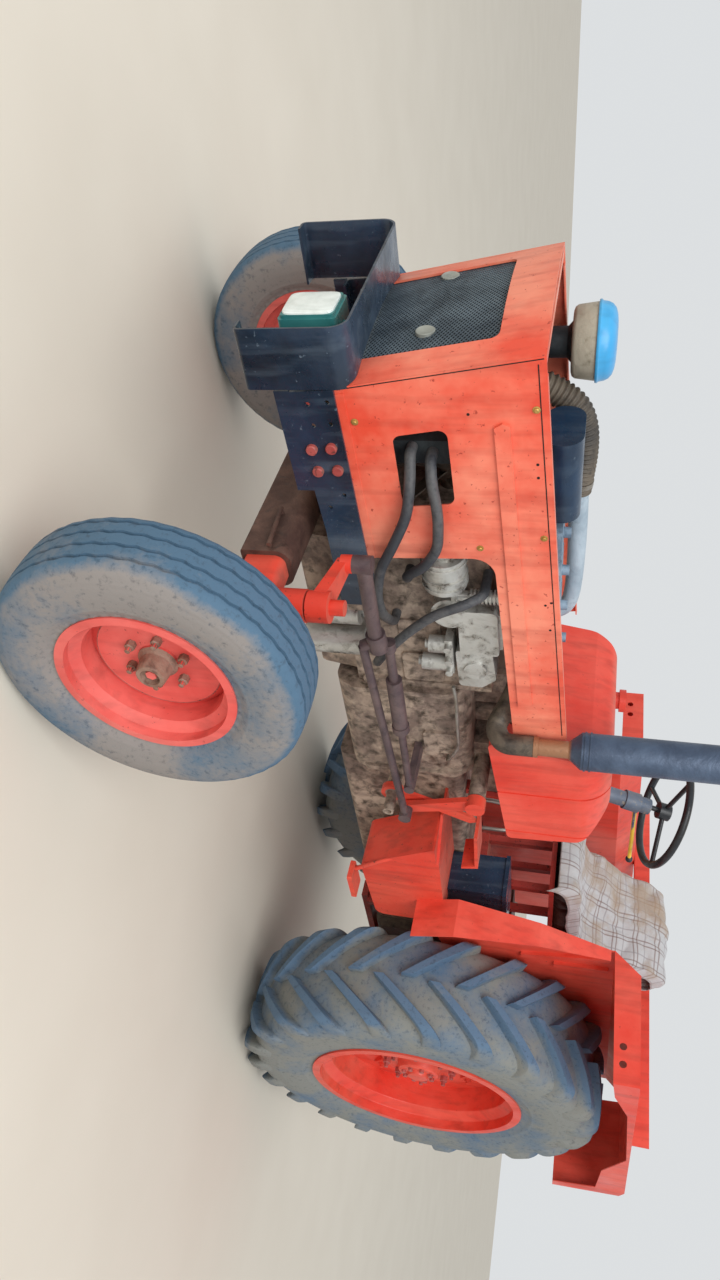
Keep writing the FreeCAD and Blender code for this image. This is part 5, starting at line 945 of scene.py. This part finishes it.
# Folds and wrinkles are products and sums of sines across and along, with other waves bending their lines
folds = FOLD * np.sin(across * 26 + 2.6 * np.sin(share_along * 8)) * np.sin(share_along * 17 + across * 7)
wrinkles = WRINKLE * np.sin(share_along * 47 + 3 * np.sin(across * 15) + across * 22) * (0.35 + back_part)
bundle = BUNDLE * back_part * hump(share_along, 0.30, 0.12) * (0.4 + 0.6 * np.cos(across * 5.5) ** 2)
inner_corner = hump(share_along, 0.55, 0.11) * (0.5 - 0.5 * np.tanh((across + 0.03) / 0.09))
lift = WOOL + np.abs(folds + wrinkles) * 0.9 + bundle + HEAP * inner_corner - WOOL * drape
rows_x = along[:, :1] + out_x * lift
rows_z = along[:, 1:] + out_z * lift - hanging * 0.82
rows_y = np.sign(across) * np.minimum(np.abs(across), DROP_FROM + 0.34 * hanging) + 0.004 * np.sin(share_along * 30)
rows_y = np.broadcast_to(rows_y, rows_x.shape)
blanket_grid = np.stack([rows_x, rows_y, rows_z], axis=-1)
cloth_length = np.linalg.norm(np.diff(blanket_grid, axis=0), axis=2).sum(axis=0).mean()
blanket = surface("blanket", blanket_grid[None], plaid_wool, crease=180, sheet=True)
weave = blanket.data.uv_layers.new(name="weave")
corner_points = np.empty(len(blanket.data.loops), dtype=int)
blanket.data.loops.foreach_get("vertex_index", corner_points)
laid_flat = np.stack(np.meshgrid(share_along[:, 0] * cloth_length, across, indexing="ij"), axis=-1).reshape(-1, 2)
weave.data.foreach_set("uv", laid_flat[corner_points].ravel())
thickness = blanket.modifiers.new("wool", "SOLIDIFY")
thickness.thickness = WOOL
thickness.offset = 0.0
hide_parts("seat_cover")
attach(blanket, "chassis")

# %% [markdown]
# ## The hand throttle
# The lever by the steering wheel keeps its yellow enamel, with a black ball at its end.

# %% Hand throttle
LEVER = mm((1168, 0, 1590), (1060, 21, 1591), (960, 42, 1592), (865, 60, 1592))
LEVER_RADIUS, KNOB_RADIUS = 0.0078, 0.0145
lever_line = smooth_line(LEVER + (SHIFT_X, 0, 0), 24, 0)
lever = surface("throttle_lever", tube(lever_line, LEVER_RADIUS, 14), lever_yellow, caps=True)
angle = np.linspace(0, np.pi, 15)
ball = np.stack([-KNOB_RADIUS * np.cos(angle), np.maximum(KNOB_RADIUS * np.sin(angle), 0.0001)], axis=1)
knob = surface("throttle_knob", turned(ball, [lever_line[-1]], (1, 0, 0), 20), moulded_black)
for piece in (lever, knob):
    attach(piece, "chassis")

# %% [markdown]
# ## Floor, light and camera
# The object is judged in plain light: a pale floor and backdrop, a bright even sky and one wide soft lamp
# from the front left for gentle shadows. The camera stands where the photographer stood, a little above
# the bonnet in front of the left front wheel, and is rolled a quarter turn because the picture is stored on
# its side.

# %% Floor, light and camera
FLOOR_SIZE = 60.0
# Pale trodden concrete, hardly mottled
concrete, tree, shader, place = blank_material("pale_concrete")
mottle = add(tree, "TexNoise", {"Vector": place, "Scale": 2.0, "Detail": 6})
mixed = add(tree, "Mix", {0: mottle[0], 6: "#D6CDBE", 7: "#E0D8CA"}, data_type="RGBA")
connect(shader, {"Base Color": mixed[2], "Roughness": 0.9})
edge = np.linspace(-FLOOR_SIZE / 2, FLOOR_SIZE / 2, 2)
floor_points = np.stack(np.meshgrid(edge, edge, [0.0], indexing="ij"), axis=-1).reshape(1, 2, 2, 3)
floor = surface("floor", floor_points, concrete, sheet=True)

world = bpy.data.worlds.new("pale_sky")
bpy.context.scene.world = world
world.use_nodes = True
connect(world.node_tree.nodes["Background"], {"Color": "#EDF0F2", "Strength": 0.85})

key = bpy.data.lights.new("soft_key", "AREA")
key.energy = 420.0
key.size = 5.0
key_lamp = bpy.data.objects.new("soft_key", key)
key_lamp.location = (5.0, 4.5, 5.5)
key_lamp.rotation_euler = (math.radians(-42), math.radians(38), 0)
bpy.context.scene.collection.objects.link(key_lamp)

EYE = (4.11166 + SHIFT_X, 2.039, 1.34833)
RIGHT = (-0.69874332, 0.71181831, 0.07122119)
UP = (-0.12532958, -0.21982644, 0.96745482)
AHEAD = (-0.70430836, -0.66707648, -0.24281415)
FOCAL_SHARE = 885.353 / 1280        # Focal length as a share of the picture's long side
SENSOR = 36.0                       # Millimetres, the sensor's long side
camera_data = bpy.data.cameras.new("camera")
camera_data.sensor_width = SENSOR
camera_data.sensor_fit = "AUTO"
camera_data.lens = SENSOR * FOCAL_SHARE
camera = bpy.data.objects.new("camera", camera_data)
quarter_turn = np.array([UP, [-c for c in RIGHT], [-c for c in AHEAD]]).T
camera.matrix_world = Matrix.Translation(EYE) @ Matrix(quarter_turn.tolist()).to_4x4()
bpy.context.scene.collection.objects.link(camera)
bpy.context.scene.camera = camera
bpy.context.scene.view_settings.view_transform = "Standard"
print("camera at", [round(c, 3) for c in EYE], "lens", round(camera_data.lens, 2), "mm")
